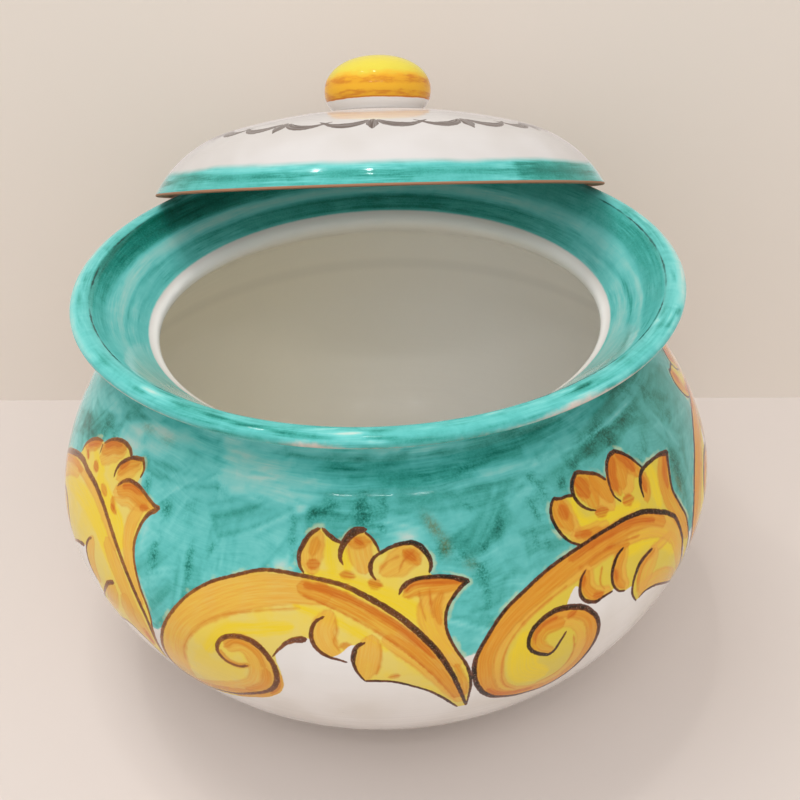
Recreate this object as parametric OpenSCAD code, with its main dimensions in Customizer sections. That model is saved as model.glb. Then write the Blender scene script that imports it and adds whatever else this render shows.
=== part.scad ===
// Lidded biscuit jar in glazed earthenware: a round-bellied pot with a flared
// collar and a rolled rim, a domed lid, and a ball knob luted on the lid.
// Millimetres, +Z up. The foot stands on z = 0, centred on the pot's own axis,
// and the front faces -Y. The lid is drawn parked: slid back and leaning on
// the rim, as a cook leaves it while the jar is open.

/* [Pot] */
// Outer radius of the rolled rim
rim_radius = 115; // [80:1:160]
// Height of the rim's widest line above the table
rim_height = 163; // [120:1:230]
// Width of the rolled rim, from its inner crease to its outer edge
lip_width = 8.8; // [6:0.2:14]
// Thickness of the rolled rim
lip_thickness = 5.2; // [4:0.2:9]
// Radius of the throat, the narrowest place inside the collar
throat_radius = 85.3; // [60:0.5:100]
// Depth of the throat below the rim's widest line
throat_depth = 20.8; // [12:0.2:40]
// Outer radius of the neck, where the collar meets the shoulder
neck_radius = 94; // [70:0.5:110]
// Outer radius of the belly
belly_radius = 131.8; // [100:0.2:180]
// Height of the belly's widest line above the table
belly_height = 82; // [50:1:130]
// Radius where the shoulder turns up into the neck
shoulder_end = 102.3; // [80:0.1:130]
// Slope of the shoulder there, in degrees
shoulder_slope = 35; // [15:1:60]
// How far the belly's curve carries up before it turns in
shoulder_round = 19; // [8:0.5:40]
// How far the belly's curve carries down before it turns in
base_round = 27; // [10:0.5:45]
// Slope of the lower body where it meets the foot, in degrees
base_slope = 16.6; // [5:0.2:40]
// Thickness of the thrown wall
pot_wall = 7; // [5:0.5:9]

/* [Foot ring] */
// Outer radius of the foot ring
foot_radius = 70; // [50:1:90]
// Width of the foot ring's standing face
foot_width = 8; // [5:0.5:14]
// Depth of the recess turned inside the foot ring
foot_recess = 3.5; // [2:0.5:6]

/* [Lid] */
// How far out from the throat the lid's edge sits on the collar
seat_width = 11.2; // [7:0.2:16]
// Height of the lid's crown above its edge
crown_height = 34.5; // [22:0.5:60]
// Radius of the arc that turns the crown down into the edge
shoulder_radius = 52; // [46:0.5:64]
// How far the centre of that arc lies below the lid's edge
shoulder_drop = 24.3; // [14:0.1:30]
// Thickness of the lid's shell
lid_wall = 5.5; // [4:0.1:8]
// Radius of the bevels on the lid's unglazed edge
edge_bevel = 0.9; // [0.4:0.1:1.6]
// Radius of the vent under the knob
vent_radius = 2.6; // [1.5:0.1:4]

/* [Knob] */
// Radius of the knob at its widest
knob_radius = 22.9; // [16:0.1:32]
// Height of the knob above the pad that it stands on
knob_height = 23.6; // [16:0.2:40]
// Height of the knob's widest line above the pad
knob_waist = 8.6; // [6:0.2:16]
// Radius of the knob where it is luted to the pad
knob_foot = 19.6; // [12:0.2:24]
// Thickness of the knob's shell over its hollow
knob_shell = 11; // [7:0.5:16]

/* [Parked lid] */
// How far behind the pot's axis the parked lid is centred
park_back = 72; // [50:1:80]
// How far the parked lid leans back, in degrees
park_tilt = 24.3; // [18:0.1:30]
// Gap left between the parked lid's edge and the rim
park_gap = 0.3; // [0.2:0.05:1]

/* [Hidden] */
$fn = 180;

// ---------- derived sizes ----------
lip_a = lip_width / 2;                  // the rolled rim is an ellipse in section
lip_b = lip_thickness / 2;
lip_centre = [rim_radius - lip_a, rim_height - 0.6];
throat = [throat_radius, rim_height - throat_depth];
lid_radius = throat_radius + seat_width;
shoulder_x = lid_radius - sqrt(pow(shoulder_radius, 2) - pow(shoulder_drop, 2));
lid_inner = shoulder_x + sqrt(pow(shoulder_radius - lid_wall, 2)
                              - pow(shoulder_drop, 2));
crown_radius = (pow(shoulder_radius, 2) - pow(shoulder_x, 2)
                - pow(shoulder_drop + crown_height, 2))
               / (2 * (shoulder_radius - shoulder_drop - crown_height));
crown_z = crown_height - crown_radius;  // centre of the crown's arc, on the axis
turn = atan2(shoulder_x, -shoulder_drop - crown_z);   // where the two arcs meet
pad_radius = knob_foot + 0.4;
pad_z = crown_z + sqrt(pow(crown_radius, 2) - pow(pad_radius, 2));

// ---------- drawing helpers ----------
// cubic Bezier from a to d with handles b and c
function bezier(a, b, c, d, n) = [for (i = [0:n]) let (s = i / n)
    pow(1 - s, 3) * a + 3 * pow(1 - s, 2) * s * b
    + 3 * (1 - s) * s * s * c + pow(s, 3) * d];
// quarter of a superellipse: a is its upright end and b its level end
function quarter(a, b, fullness, n) = [for (i = [0:n]) let (u = 90 * i / n)
    [b[0] + (a[0] - b[0]) * pow(cos(u), 2 / fullness),
     a[1] + (b[1] - a[1]) * pow(sin(u), 2 / fullness)]];
// circular arc about c, with angles measured from straight up
function arc(c, r, a0, a1, n) = [for (i = [0:n]) let (t = a0 + (a1 - a0) * i / n)
    c + r * [sin(t), cos(t)]];
function ellipse_point(t) = lip_centre + [lip_a * cos(t), lip_b * sin(t)];
function ellipse_way(t) = unit([-lip_a * sin(t), lip_b * cos(t)]);
function unit(v) = v / norm(v);
function reverse(p) = [for (i = [len(p) - 1:-1:0]) p[i]];
function tail(p) = [for (i = [1:len(p) - 1]) p[i]];
function last(p) = p[len(p) - 1];
// a line moved sideways by t, to the left of the way it is drawn
function inset(p, t) = [for (i = [0:len(p) - 1])
    let (w = unit(p[min(i + 1, len(p) - 1)] - p[max(i - 1, 0)]))
    p[i] + t * [-w[1], w[0]]];

// ---------- the pot's section ----------
belly = [belly_radius, belly_height];
base_end = [foot_radius + 4.8, foot_recess + 1];
base_line = reverse(bezier(belly, belly - [0, base_round],
                           base_end + 32.4 * [cos(base_slope), sin(base_slope)],
                           base_end, 20));
shoulder_way = [-cos(shoulder_slope), sin(shoulder_slope)];
shoulder_top = [shoulder_end, throat[1] - 5.2];
shoulder_line = bezier(belly, belly + [0, shoulder_round],
                       shoulder_top - 9 * shoulder_way, shoulder_top, 20);
neck = [neck_radius, throat[1] + 1.8];
neck_line = bezier(last(shoulder_line), last(shoulder_line) + 5 * shoulder_way,
                   neck - [0, 3], neck, 6);
under_line = bezier(neck, neck + [0, 5.5],
                    ellipse_point(-75) - 6.5 * ellipse_way(-75),
                    ellipse_point(-75), 9);
lip_line = [for (t = [-75:215 / 15:140]) ellipse_point(t)];
seat = throat + [4, 5];                  // where the collar rolls into the throat
collar_line = bezier(last(lip_line), last(lip_line) + 4 * ellipse_way(140),
                     seat + [5.6, 5.7], seat, 8);
throat_line = bezier(seat, seat - [2.3, 2.3], throat + [0, 2.6], throat, 6);
inner_shoulder = inset(shoulder_line, pot_wall);
throat_roll = bezier(throat, throat - [0, 2.6],
                     last(inner_shoulder) + 6.5 * shoulder_way,
                     last(inner_shoulder), 6);
floor_line = inset(base_line, pot_wall);
foot_line = [[0, foot_recess], [foot_radius - foot_width - 2, foot_recess],
             [foot_radius - foot_width - 1, foot_recess - 0.7],
             [foot_radius - foot_width - 0.7, 0.6],
             [foot_radius - foot_width, 0], [foot_radius - 0.9, 0],
             [foot_radius, 0.9], [foot_radius + 0.4, foot_recess - 1]];

module pot_section()
    polygon(concat(foot_line, base_line, tail(shoulder_line), tail(neck_line),
                   tail(under_line), tail(lip_line), tail(collar_line),
                   tail(throat_line), tail(throat_roll),
                   tail(reverse(inner_shoulder)), tail(reverse(floor_line)),
                   [[0, last(reverse(floor_line))[1]]]));

// ---------- the lid's section ----------
// crown and shoulder arcs of the lid, both moved in by t, down to the edge
function dome(t, from, to, n) = concat(
    arc([0, crown_z], crown_radius - t, from, turn, 8),
    tail(arc([shoulder_x, -shoulder_drop], shoulder_radius - t, turn, to, n)));
edge_turn = atan2(lid_radius - shoulder_x, shoulder_drop + edge_bevel);
inner_turn = atan2(lid_inner - shoulder_x, shoulder_drop + edge_bevel);

module lid_section()
    polygon(concat([[vent_radius, pad_z], [pad_radius, pad_z]],
                   tail(dome(0, asin(pad_radius / crown_radius), edge_turn, 20)),
                   [[lid_radius - edge_bevel, 0], [lid_inner + edge_bevel, 0]],
                   reverse(dome(lid_wall, asin(vent_radius / (crown_radius - lid_wall)),
                                inner_turn, 20))));

// ---------- the knob's section ----------
module knob_section() {
    rise = knob_height - knob_waist;
    hollow = knob_radius - knob_shell;
    polygon(concat([[hollow, 0], [knob_foot - 0.5, 0], [knob_foot, 0.5]],
                   bezier([knob_foot + 0.2, 1.2], [knob_foot + 2.2, 3.2],
                          [knob_radius, knob_waist - 3], [knob_radius, knob_waist], 8),
                   tail(quarter([knob_radius, knob_waist], [0, knob_height],
                                2.15, 18)),
                   reverse(quarter([hollow, 2], [0, rise - 4], 2, 8))));
}

// ---------- the parked place ----------
// The lid bears on the rim by its level edge, at two points near its left and
// right. Every point of the rolled rim that lies under that edge is tried, and
// the lid is raised until its edge clears the highest of them by the gap.
park_z = max([for (a = [0:0.5:90]) for (t = [0:10:180])
    let (q = ellipse_point(t), y = q[0] * sin(a) - park_back,
         r = norm([q[0] * cos(a), y / cos(park_tilt)]))
    if (r > lid_inner + edge_bevel / 2 && r < lid_radius)
        q[1] + (y * sin(park_tilt) + park_gap) / cos(park_tilt)]);

module parked()
    translate([0, park_back, park_z]) rotate([-park_tilt, 0, 0]) children();

// ---------- sub-parts ----------
module pot() color([0.36, 0.72, 0.66]) rotate_extrude() pot_section();

module lid() color([0.93, 0.90, 0.88]) parked() rotate_extrude() lid_section();

module knob() color([0.93, 0.70, 0.22])
    parked() translate([0, 0, pad_z]) rotate_extrude() knob_section();

pot();
lid();
knob();
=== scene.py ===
# %% [markdown]
# # A hand-painted biscuit jar in tin-glazed earthenware
# The jar is three pieces of thrown clay: a round-bellied pot with a flared collar, a domed lid,
# and a ball knob that was stuck on the lid with slip. They are dipped in white tin glaze, painted
# with metal oxides while the glaze is still powder, and fired, so the paint melts into the gloss.
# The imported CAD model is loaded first. It gives every size and says which body a piece moves with.

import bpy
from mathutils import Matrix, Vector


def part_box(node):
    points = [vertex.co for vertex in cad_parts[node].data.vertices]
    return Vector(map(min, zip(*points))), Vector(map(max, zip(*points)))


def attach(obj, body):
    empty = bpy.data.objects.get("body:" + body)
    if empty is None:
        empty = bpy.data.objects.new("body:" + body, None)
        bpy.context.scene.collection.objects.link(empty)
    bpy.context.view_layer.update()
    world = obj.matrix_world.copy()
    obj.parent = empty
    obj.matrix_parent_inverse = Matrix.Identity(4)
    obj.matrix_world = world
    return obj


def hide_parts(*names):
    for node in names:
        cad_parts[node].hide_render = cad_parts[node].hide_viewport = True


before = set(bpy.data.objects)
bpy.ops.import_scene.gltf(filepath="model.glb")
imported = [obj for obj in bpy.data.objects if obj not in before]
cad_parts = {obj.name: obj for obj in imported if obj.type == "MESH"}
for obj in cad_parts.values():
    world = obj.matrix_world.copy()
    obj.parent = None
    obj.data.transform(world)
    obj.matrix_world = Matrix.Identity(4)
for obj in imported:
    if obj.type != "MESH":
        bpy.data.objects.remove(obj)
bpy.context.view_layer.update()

# %% [markdown]
# Blender works in metres, and a potter thinks in millimetres, so every drawing below is in
# millimetres and is turned into metres when it becomes a mesh. Colours are written as a painter
# would read them off a screen, from 0 to 255, and turned into the linear values that Cycles needs.

import bpy
import numpy as np
from mathutils import Matrix, Vector

MM = 0.001


def linear(red, green, blue):
    """Screen colour 0-255 to linear light: ((c + 0.055) / 1.055) to the power 2.4."""
    c = np.array([red, green, blue]) / 255
    low = c / 12.92
    high = ((c + 0.055) / 1.055) ** 2.4
    return (*np.where(c < 0.04045, low, high).tolist(), 1.0)


print("A mid grey of 128 is", round(linear(128, 128, 128)[0], 3), "in linear light")

# %% [markdown]
# ## The camera
# The jar is seen from above and a little to the right of its middle. The camera is described as a
# person would hold it: how far it tips down, how far it turns and how far it leans. Three
# unit vectors come from those angles, and they are the columns of the camera's matrix.

# %% Camera
LENS_MM = 49.5
CAMERA_PLACE = (0.0156, -0.3774, 0.3545)
TIP_DOWN = 0.5902
TURN_RIGHT = -0.0237
LEAN = -0.0381


def camera_matrix(place, tip, turn, lean):
    """Forward is the +Y axis turned by turn and tipped down by tip; right and up are square to it,
    rolled about it by lean. A Blender camera looks along its own -Z."""
    forward = np.array([np.sin(turn) * np.cos(tip), np.cos(turn) * np.cos(tip), -np.sin(tip)])
    right = np.cross(forward, (0, 0, 1))
    right /= np.linalg.norm(right)
    up = np.cross(right, forward)
    right, up = (np.cos(lean) * right + np.sin(lean) * up, np.cos(lean) * up - np.sin(lean) * right)
    matrix = np.eye(4)
    matrix[:3, :3] = np.column_stack([right, up, -forward])
    matrix[:3, 3] = place
    return Matrix(matrix.tolist())


def new_object(name, data):
    """An object with its mesh, lamp or camera, put in the scene."""
    made = bpy.data.objects.new(name, data)
    bpy.context.scene.collection.objects.link(made)
    return made


camera = new_object("camera", bpy.data.cameras.new("camera"))
bpy.context.scene.camera = camera
camera.data.lens = LENS_MM
camera.data.sensor_width = 36
camera.data.clip_start = 0.01
camera.matrix_world = camera_matrix(CAMERA_PLACE, TIP_DOWN, TURN_RIGHT, LEAN)
print("Camera stands", round(Vector(CAMERA_PLACE).length, 3), "m from the middle of the foot")

# %% [markdown]
# ## The sections
# A thrown pot is a solid of revolution, so its whole shape is one line: the section from the
# middle of the foot, up the outside, over the rolled rim, and down the inside to the middle of
# the floor. The CAD part draws the same line with Bezier curves and arcs. It is drawn again here,
# with many more points, because the painting needs a dense skin and a CAD mesh is never changed.

# %% Drawing helpers
def unit(v):
    """A vector scaled to length one."""
    return np.asarray(v, float) / np.linalg.norm(v)


def bezier(a, b, c, d, count):
    """Cubic Bezier: (1-t)^3 a + 3 (1-t)^2 t b + 3 (1-t) t^2 c + t^3 d for t from 0 to 1."""
    t = np.linspace(0, 1, count + 1)[:, None]
    a, b, c, d = (np.asarray(p, float) for p in (a, b, c, d))
    return (1 - t) ** 3 * a + 3 * (1 - t) ** 2 * t * b + 3 * (1 - t) * t**2 * c + t**3 * d


def arc(centre, radius, start, end, count):
    """Circular arc: centre + radius * (sin a, cos a), with a in degrees from straight up."""
    a = np.radians(np.linspace(start, end, count + 1))
    return np.asarray(centre) + radius * np.column_stack([np.sin(a), np.cos(a)])


def set_in(line, distance):
    """The line moved sideways to the left of its travel: p + distance * (-wy, wx)."""
    way = np.gradient(line, axis=0)
    way /= np.linalg.norm(way, axis=1)[:, None]
    return line + distance * np.column_stack([-way[:, 1], way[:, 0]])


def run_length(line):
    """Distance travelled along a line: the running sum of its steps."""
    steps = np.linalg.norm(np.diff(line, axis=0), axis=1)
    return np.concatenate([[0], np.cumsum(steps)])


def respace(line, count):
    """The same line with count equal steps along its length."""
    travelled = run_length(line)
    wanted = np.linspace(0, travelled[-1], count + 1)
    return np.column_stack([np.interp(wanted, travelled, line[:, k]) for k in (0, 1)])


print("A quarter circle of radius 10 is", round(run_length(arc((0, 0), 10, 0, 90, 64))[-1], 2), "mm")

# %% [markdown]
# The pot's section is built from named stretches. The outer wall runs from the foot ring to the
# neck; the rim is an ellipse; the collar slopes in to the throat, where the lid sits when the jar
# is closed; and the inside follows the outside at the thickness of the thrown wall.

# %% The pot's section
WALL = 7.0
BELLY = np.array([131.8, 82.0])
BELLY_PULL_UP = 19
BELLY_PULL_DOWN = 27
BASE_END = np.array([74.8, 4.5])
BASE_SLOPE = np.radians(16.6)
BASE_PULL = 32.4
SHOULDER_TOP = np.array([102.3, 137.0])
SHOULDER_SLOPE = np.radians(35)
SHOULDER_WAY = np.array([-np.cos(SHOULDER_SLOPE), np.sin(SHOULDER_SLOPE)])
NECK = np.array([94.0, 144.0])
RIM_CENTRE = np.array([110.6, 162.4])
RIM_SIZE = np.array([4.4, 2.6])
RIM_FROM = -75
RIM_TO = 140
RIM_POINTS = 200
THROAT = np.array([85.3, 142.2])
SEAT = THROAT + (4, 5)


def rim_point(turn):
    """Point of the rolled rim's ellipse: centre + (a cos t, b sin t)."""
    turn = np.radians(turn)
    return RIM_CENTRE + np.stack([RIM_SIZE[0] * np.cos(turn), RIM_SIZE[1] * np.sin(turn)], -1)


def rim_way(turn):
    """Direction of travel round that ellipse: (-a sin t, b cos t) at length one."""
    turn = np.radians(turn)
    return unit([-RIM_SIZE[0] * np.sin(turn), RIM_SIZE[1] * np.cos(turn)])


foot = np.array([[0, 3.5], [60, 3.5], [61, 2.8], [61.3, 0.6], [62, 0], [69.1, 0], [70, 0.9],
                 [70.4, 2.5]])
base = bezier(BELLY, BELLY - (0, BELLY_PULL_DOWN),
              BASE_END + BASE_PULL * np.array([np.cos(BASE_SLOPE), np.sin(BASE_SLOPE)]),
              BASE_END, 200)[::-1]
shoulder = bezier(BELLY, BELLY + (0, BELLY_PULL_UP), SHOULDER_TOP - 9 * SHOULDER_WAY,
                  SHOULDER_TOP, 200)
neck = bezier(SHOULDER_TOP, SHOULDER_TOP + 5 * SHOULDER_WAY, NECK - (0, 3), NECK, 60)
under_rim = bezier(NECK, NECK + (0, 5.5), rim_point(RIM_FROM) - 6.5 * rim_way(RIM_FROM),
                   rim_point(RIM_FROM), 60)
rim = rim_point(np.linspace(RIM_FROM, RIM_TO, RIM_POINTS))
collar = bezier(rim[-1], rim[-1] + 4 * rim_way(RIM_TO), SEAT + (5.6, 5.7), SEAT, 80)
throat = bezier(SEAT, SEAT - (2.3, 2.3), THROAT + (0, 2.6), THROAT, 40)
inner_shoulder = set_in(shoulder, WALL)
throat_roll = bezier(THROAT, THROAT - (0, 2.6), inner_shoulder[-1] + 6.5 * SHOULDER_WAY,
                     inner_shoulder[-1], 40)
inner_base = set_in(base, WALL)[::-1]
wall = np.vstack([base, shoulder[1:], neck[1:], under_rim[1:], rim[1:]])
wall_run = run_length(wall) - run_length(base)[-1]
RIM_RUN = wall_run[-RIM_POINTS:][np.argmax(rim[:, 0])]
print("Outer wall runs from", round(wall_run[0], 1), "to", round(wall_run[-1], 1),
      "mm from the belly line; the rim is widest at", round(RIM_RUN, 1))

# %% [markdown]
# The skin is finest where the brush lines are, because their places are stored on its points.
# Rows of points run round the pot. The painted band has 720 points to a row and a row about
# every 1.25 mm; the plain parts have 240. Where the two meet, each long edge is joined to three
# short ones by a small fan, so the skin stays closed.

# %% Rows of points for the pot
FINE = 720
PLAIN = 240
BAND_LOW = -45.0
BAND_HIGH = 60.0
BAND_ROWS = 84
BAND_GAP = 1.25


def along_wall(run):
    """Radius and height of the outer wall at a distance from the belly line, by interpolation."""
    return np.column_stack([np.interp(run, wall_run, wall[:, k]) for k in (0, 1)])


def pot_rows():
    """Points of the section in order, and how many points each of their rows has."""
    stretches = [
        (foot, PLAIN),
        (along_wall(np.linspace(wall_run[0], BAND_LOW - BAND_GAP, 20)), PLAIN),
        (along_wall(np.linspace(BAND_LOW, BAND_HIGH, BAND_ROWS)), FINE),
        (along_wall(np.linspace(BAND_HIGH + BAND_GAP, wall_run[-RIM_POINTS], 24)), PLAIN),
        (respace(rim, 22)[1:], PLAIN),
        (respace(collar, 20)[1:], PLAIN),
        (respace(throat, 7)[1:], PLAIN),
        (respace(throat_roll, 8)[1:], PLAIN),
        (respace(inner_shoulder[::-1], 20)[1:], PLAIN),
        (respace(inner_base, 26)[1:], PLAIN),
        (np.array([[0.0, inner_base[-1, 1]]]), PLAIN),
    ]
    section = np.vstack([points for points, _ in stretches])
    counts = np.concatenate([np.full(len(points), count) for points, count in stretches])
    return section, counts


pot_section, pot_counts = pot_rows()
print("The pot's section has", len(pot_section), "rows")

# %% [markdown]
# Turning the section about the axis is the potter's wheel in numbers: a point (r, z) of the
# section at the angle a becomes (r sin a, -r cos a, z), so a = 0 faces the front. Points on the
# axis become one pole each. The angle, and the distance along the section, stay with each point,
# because the brushwork is laid out in them.

# %% The wheel
def turn_on_wheel(section, counts, ring=False):
    """Points and triangles of a closed turned skin. Row i holds counts[i] points at equal angles;
    between equal rows each cell is two triangles, and between unequal rows each long edge is
    joined to its short ones by a fan. A ring, whose section never meets the axis, joins its last
    row to its first. Returns points, triangles, angle and row of each point."""
    sizes = np.where(section[:, 0] < 1e-6, 1, counts)
    first = np.concatenate([[0], np.cumsum(sizes)])
    row = np.repeat(np.arange(len(section)), sizes)
    step = np.arange(first[-1]) - first[row]
    angle = 2 * np.pi * step / sizes[row]
    r, z = section[row].T
    points = np.column_stack([r * np.sin(angle), -r * np.cos(angle), z])
    triangles = []
    for i in range(len(section) - 1 + ring):
        up = (i + 1) % len(section)
        low, high = sizes[i], sizes[up]
        a, b = first[i], first[up]
        j = np.arange(max(low, high))
        if low == 1:
            triangles.append(np.column_stack([a + 0 * j, b + (j + 1) % high, b + j]))
        elif high == 1:
            triangles.append(np.column_stack([a + j, a + (j + 1) % low, b + 0 * j]))
        elif low == high:
            n = (j + 1) % low
            triangles.append(np.column_stack([a + j, a + n, b + n]))
            triangles.append(np.column_stack([a + j, b + n, b + j]))
        else:
            many, few = max(low, high), min(low, high)
            fan = many // few
            fine, coarse = (a, b) if low > high else (b, a)
            near = (j + fan // 2) // fan % few
            tips = np.column_stack([fine + j, fine + (j + 1) % many, coarse + near])
            k = np.arange(few)
            ends = np.column_stack([coarse + (k + 1) % few, coarse + k,
                                    fine + (k * fan + (fan + 1) // 2) % many])
            if low < high:
                tips, ends = tips[:, ::-1], ends[:, ::-1]
            triangles += [tips, ends]
    return points, np.vstack(triangles), np.degrees(angle), row


def enclosed(points, triangles):
    """Signed volume: a sixth of the sum of p . (q x r). It is positive if faces point outwards."""
    p, q, r = (points[triangles[:, k]] for k in range(3))
    return np.einsum("ij,ij->i", p, np.cross(q, r)).sum() / 6


pot_points, pot_triangles, pot_angle, pot_row = turn_on_wheel(pot_section, pot_counts)
print("Pot:", len(pot_triangles), "triangles,",
      round(enclosed(pot_points, pot_triangles) / 1000), "cm3 of clay")

# %% [markdown]
# ## The brushwork
# Seven acanthus scrolls run round the belly, a border as old as painted pottery. A painter works
# fast: a yellow ground, amber and orange washes while it is damp, then brown outlines with a loaded
# brush that swells and thins. Three scrolls are drawn one by one below, since no two are alike, and
# the rest repeat them. A place on the wall is written (degrees round the pot, millimetres
# above the belly line), and a brush line is its widths in millimetres, then the points it passes.

# %% The curl of two of the scrolls
CURL_WIDTHS = (0.9, 1.2, 1.6, 2.0, 1.9, 1.6, 1.2, 1.1)
CURL = [(-19.7, -1.5), (-21, -3), (-23, -2.3), (-24.3, 1), (-24.2, 5), (-22.8, 8.5), (-20.5, 10),
        (-18.2, 9), (-16.2, 5), (-15.2, 0), (-15.3, -6), (-16.3, -11.5), (-18.2, -16),
        (-21.5, -21.5), (-25, -27), (-28.5, -31), (-32, -35.5), (-35.2, -37.5)]


def moved_round(points, degrees):
    """The same points further round the pot: the degrees are added to each."""
    return [(x + degrees, y) for x, y in points]


print("The curl passes", len(CURL), "points")

# %% [markdown]
# A scroll is its brush lines, then the outlines of its yellow ground, which follow those lines or
# points of their own (a minus sign means that a line is followed backwards), then its washes of
# lemon, amber, gold and orange, each a width and the points it passes. Last comes the edge of the
# turquoise behind it. The first scroll stands left of the middle.

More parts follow.
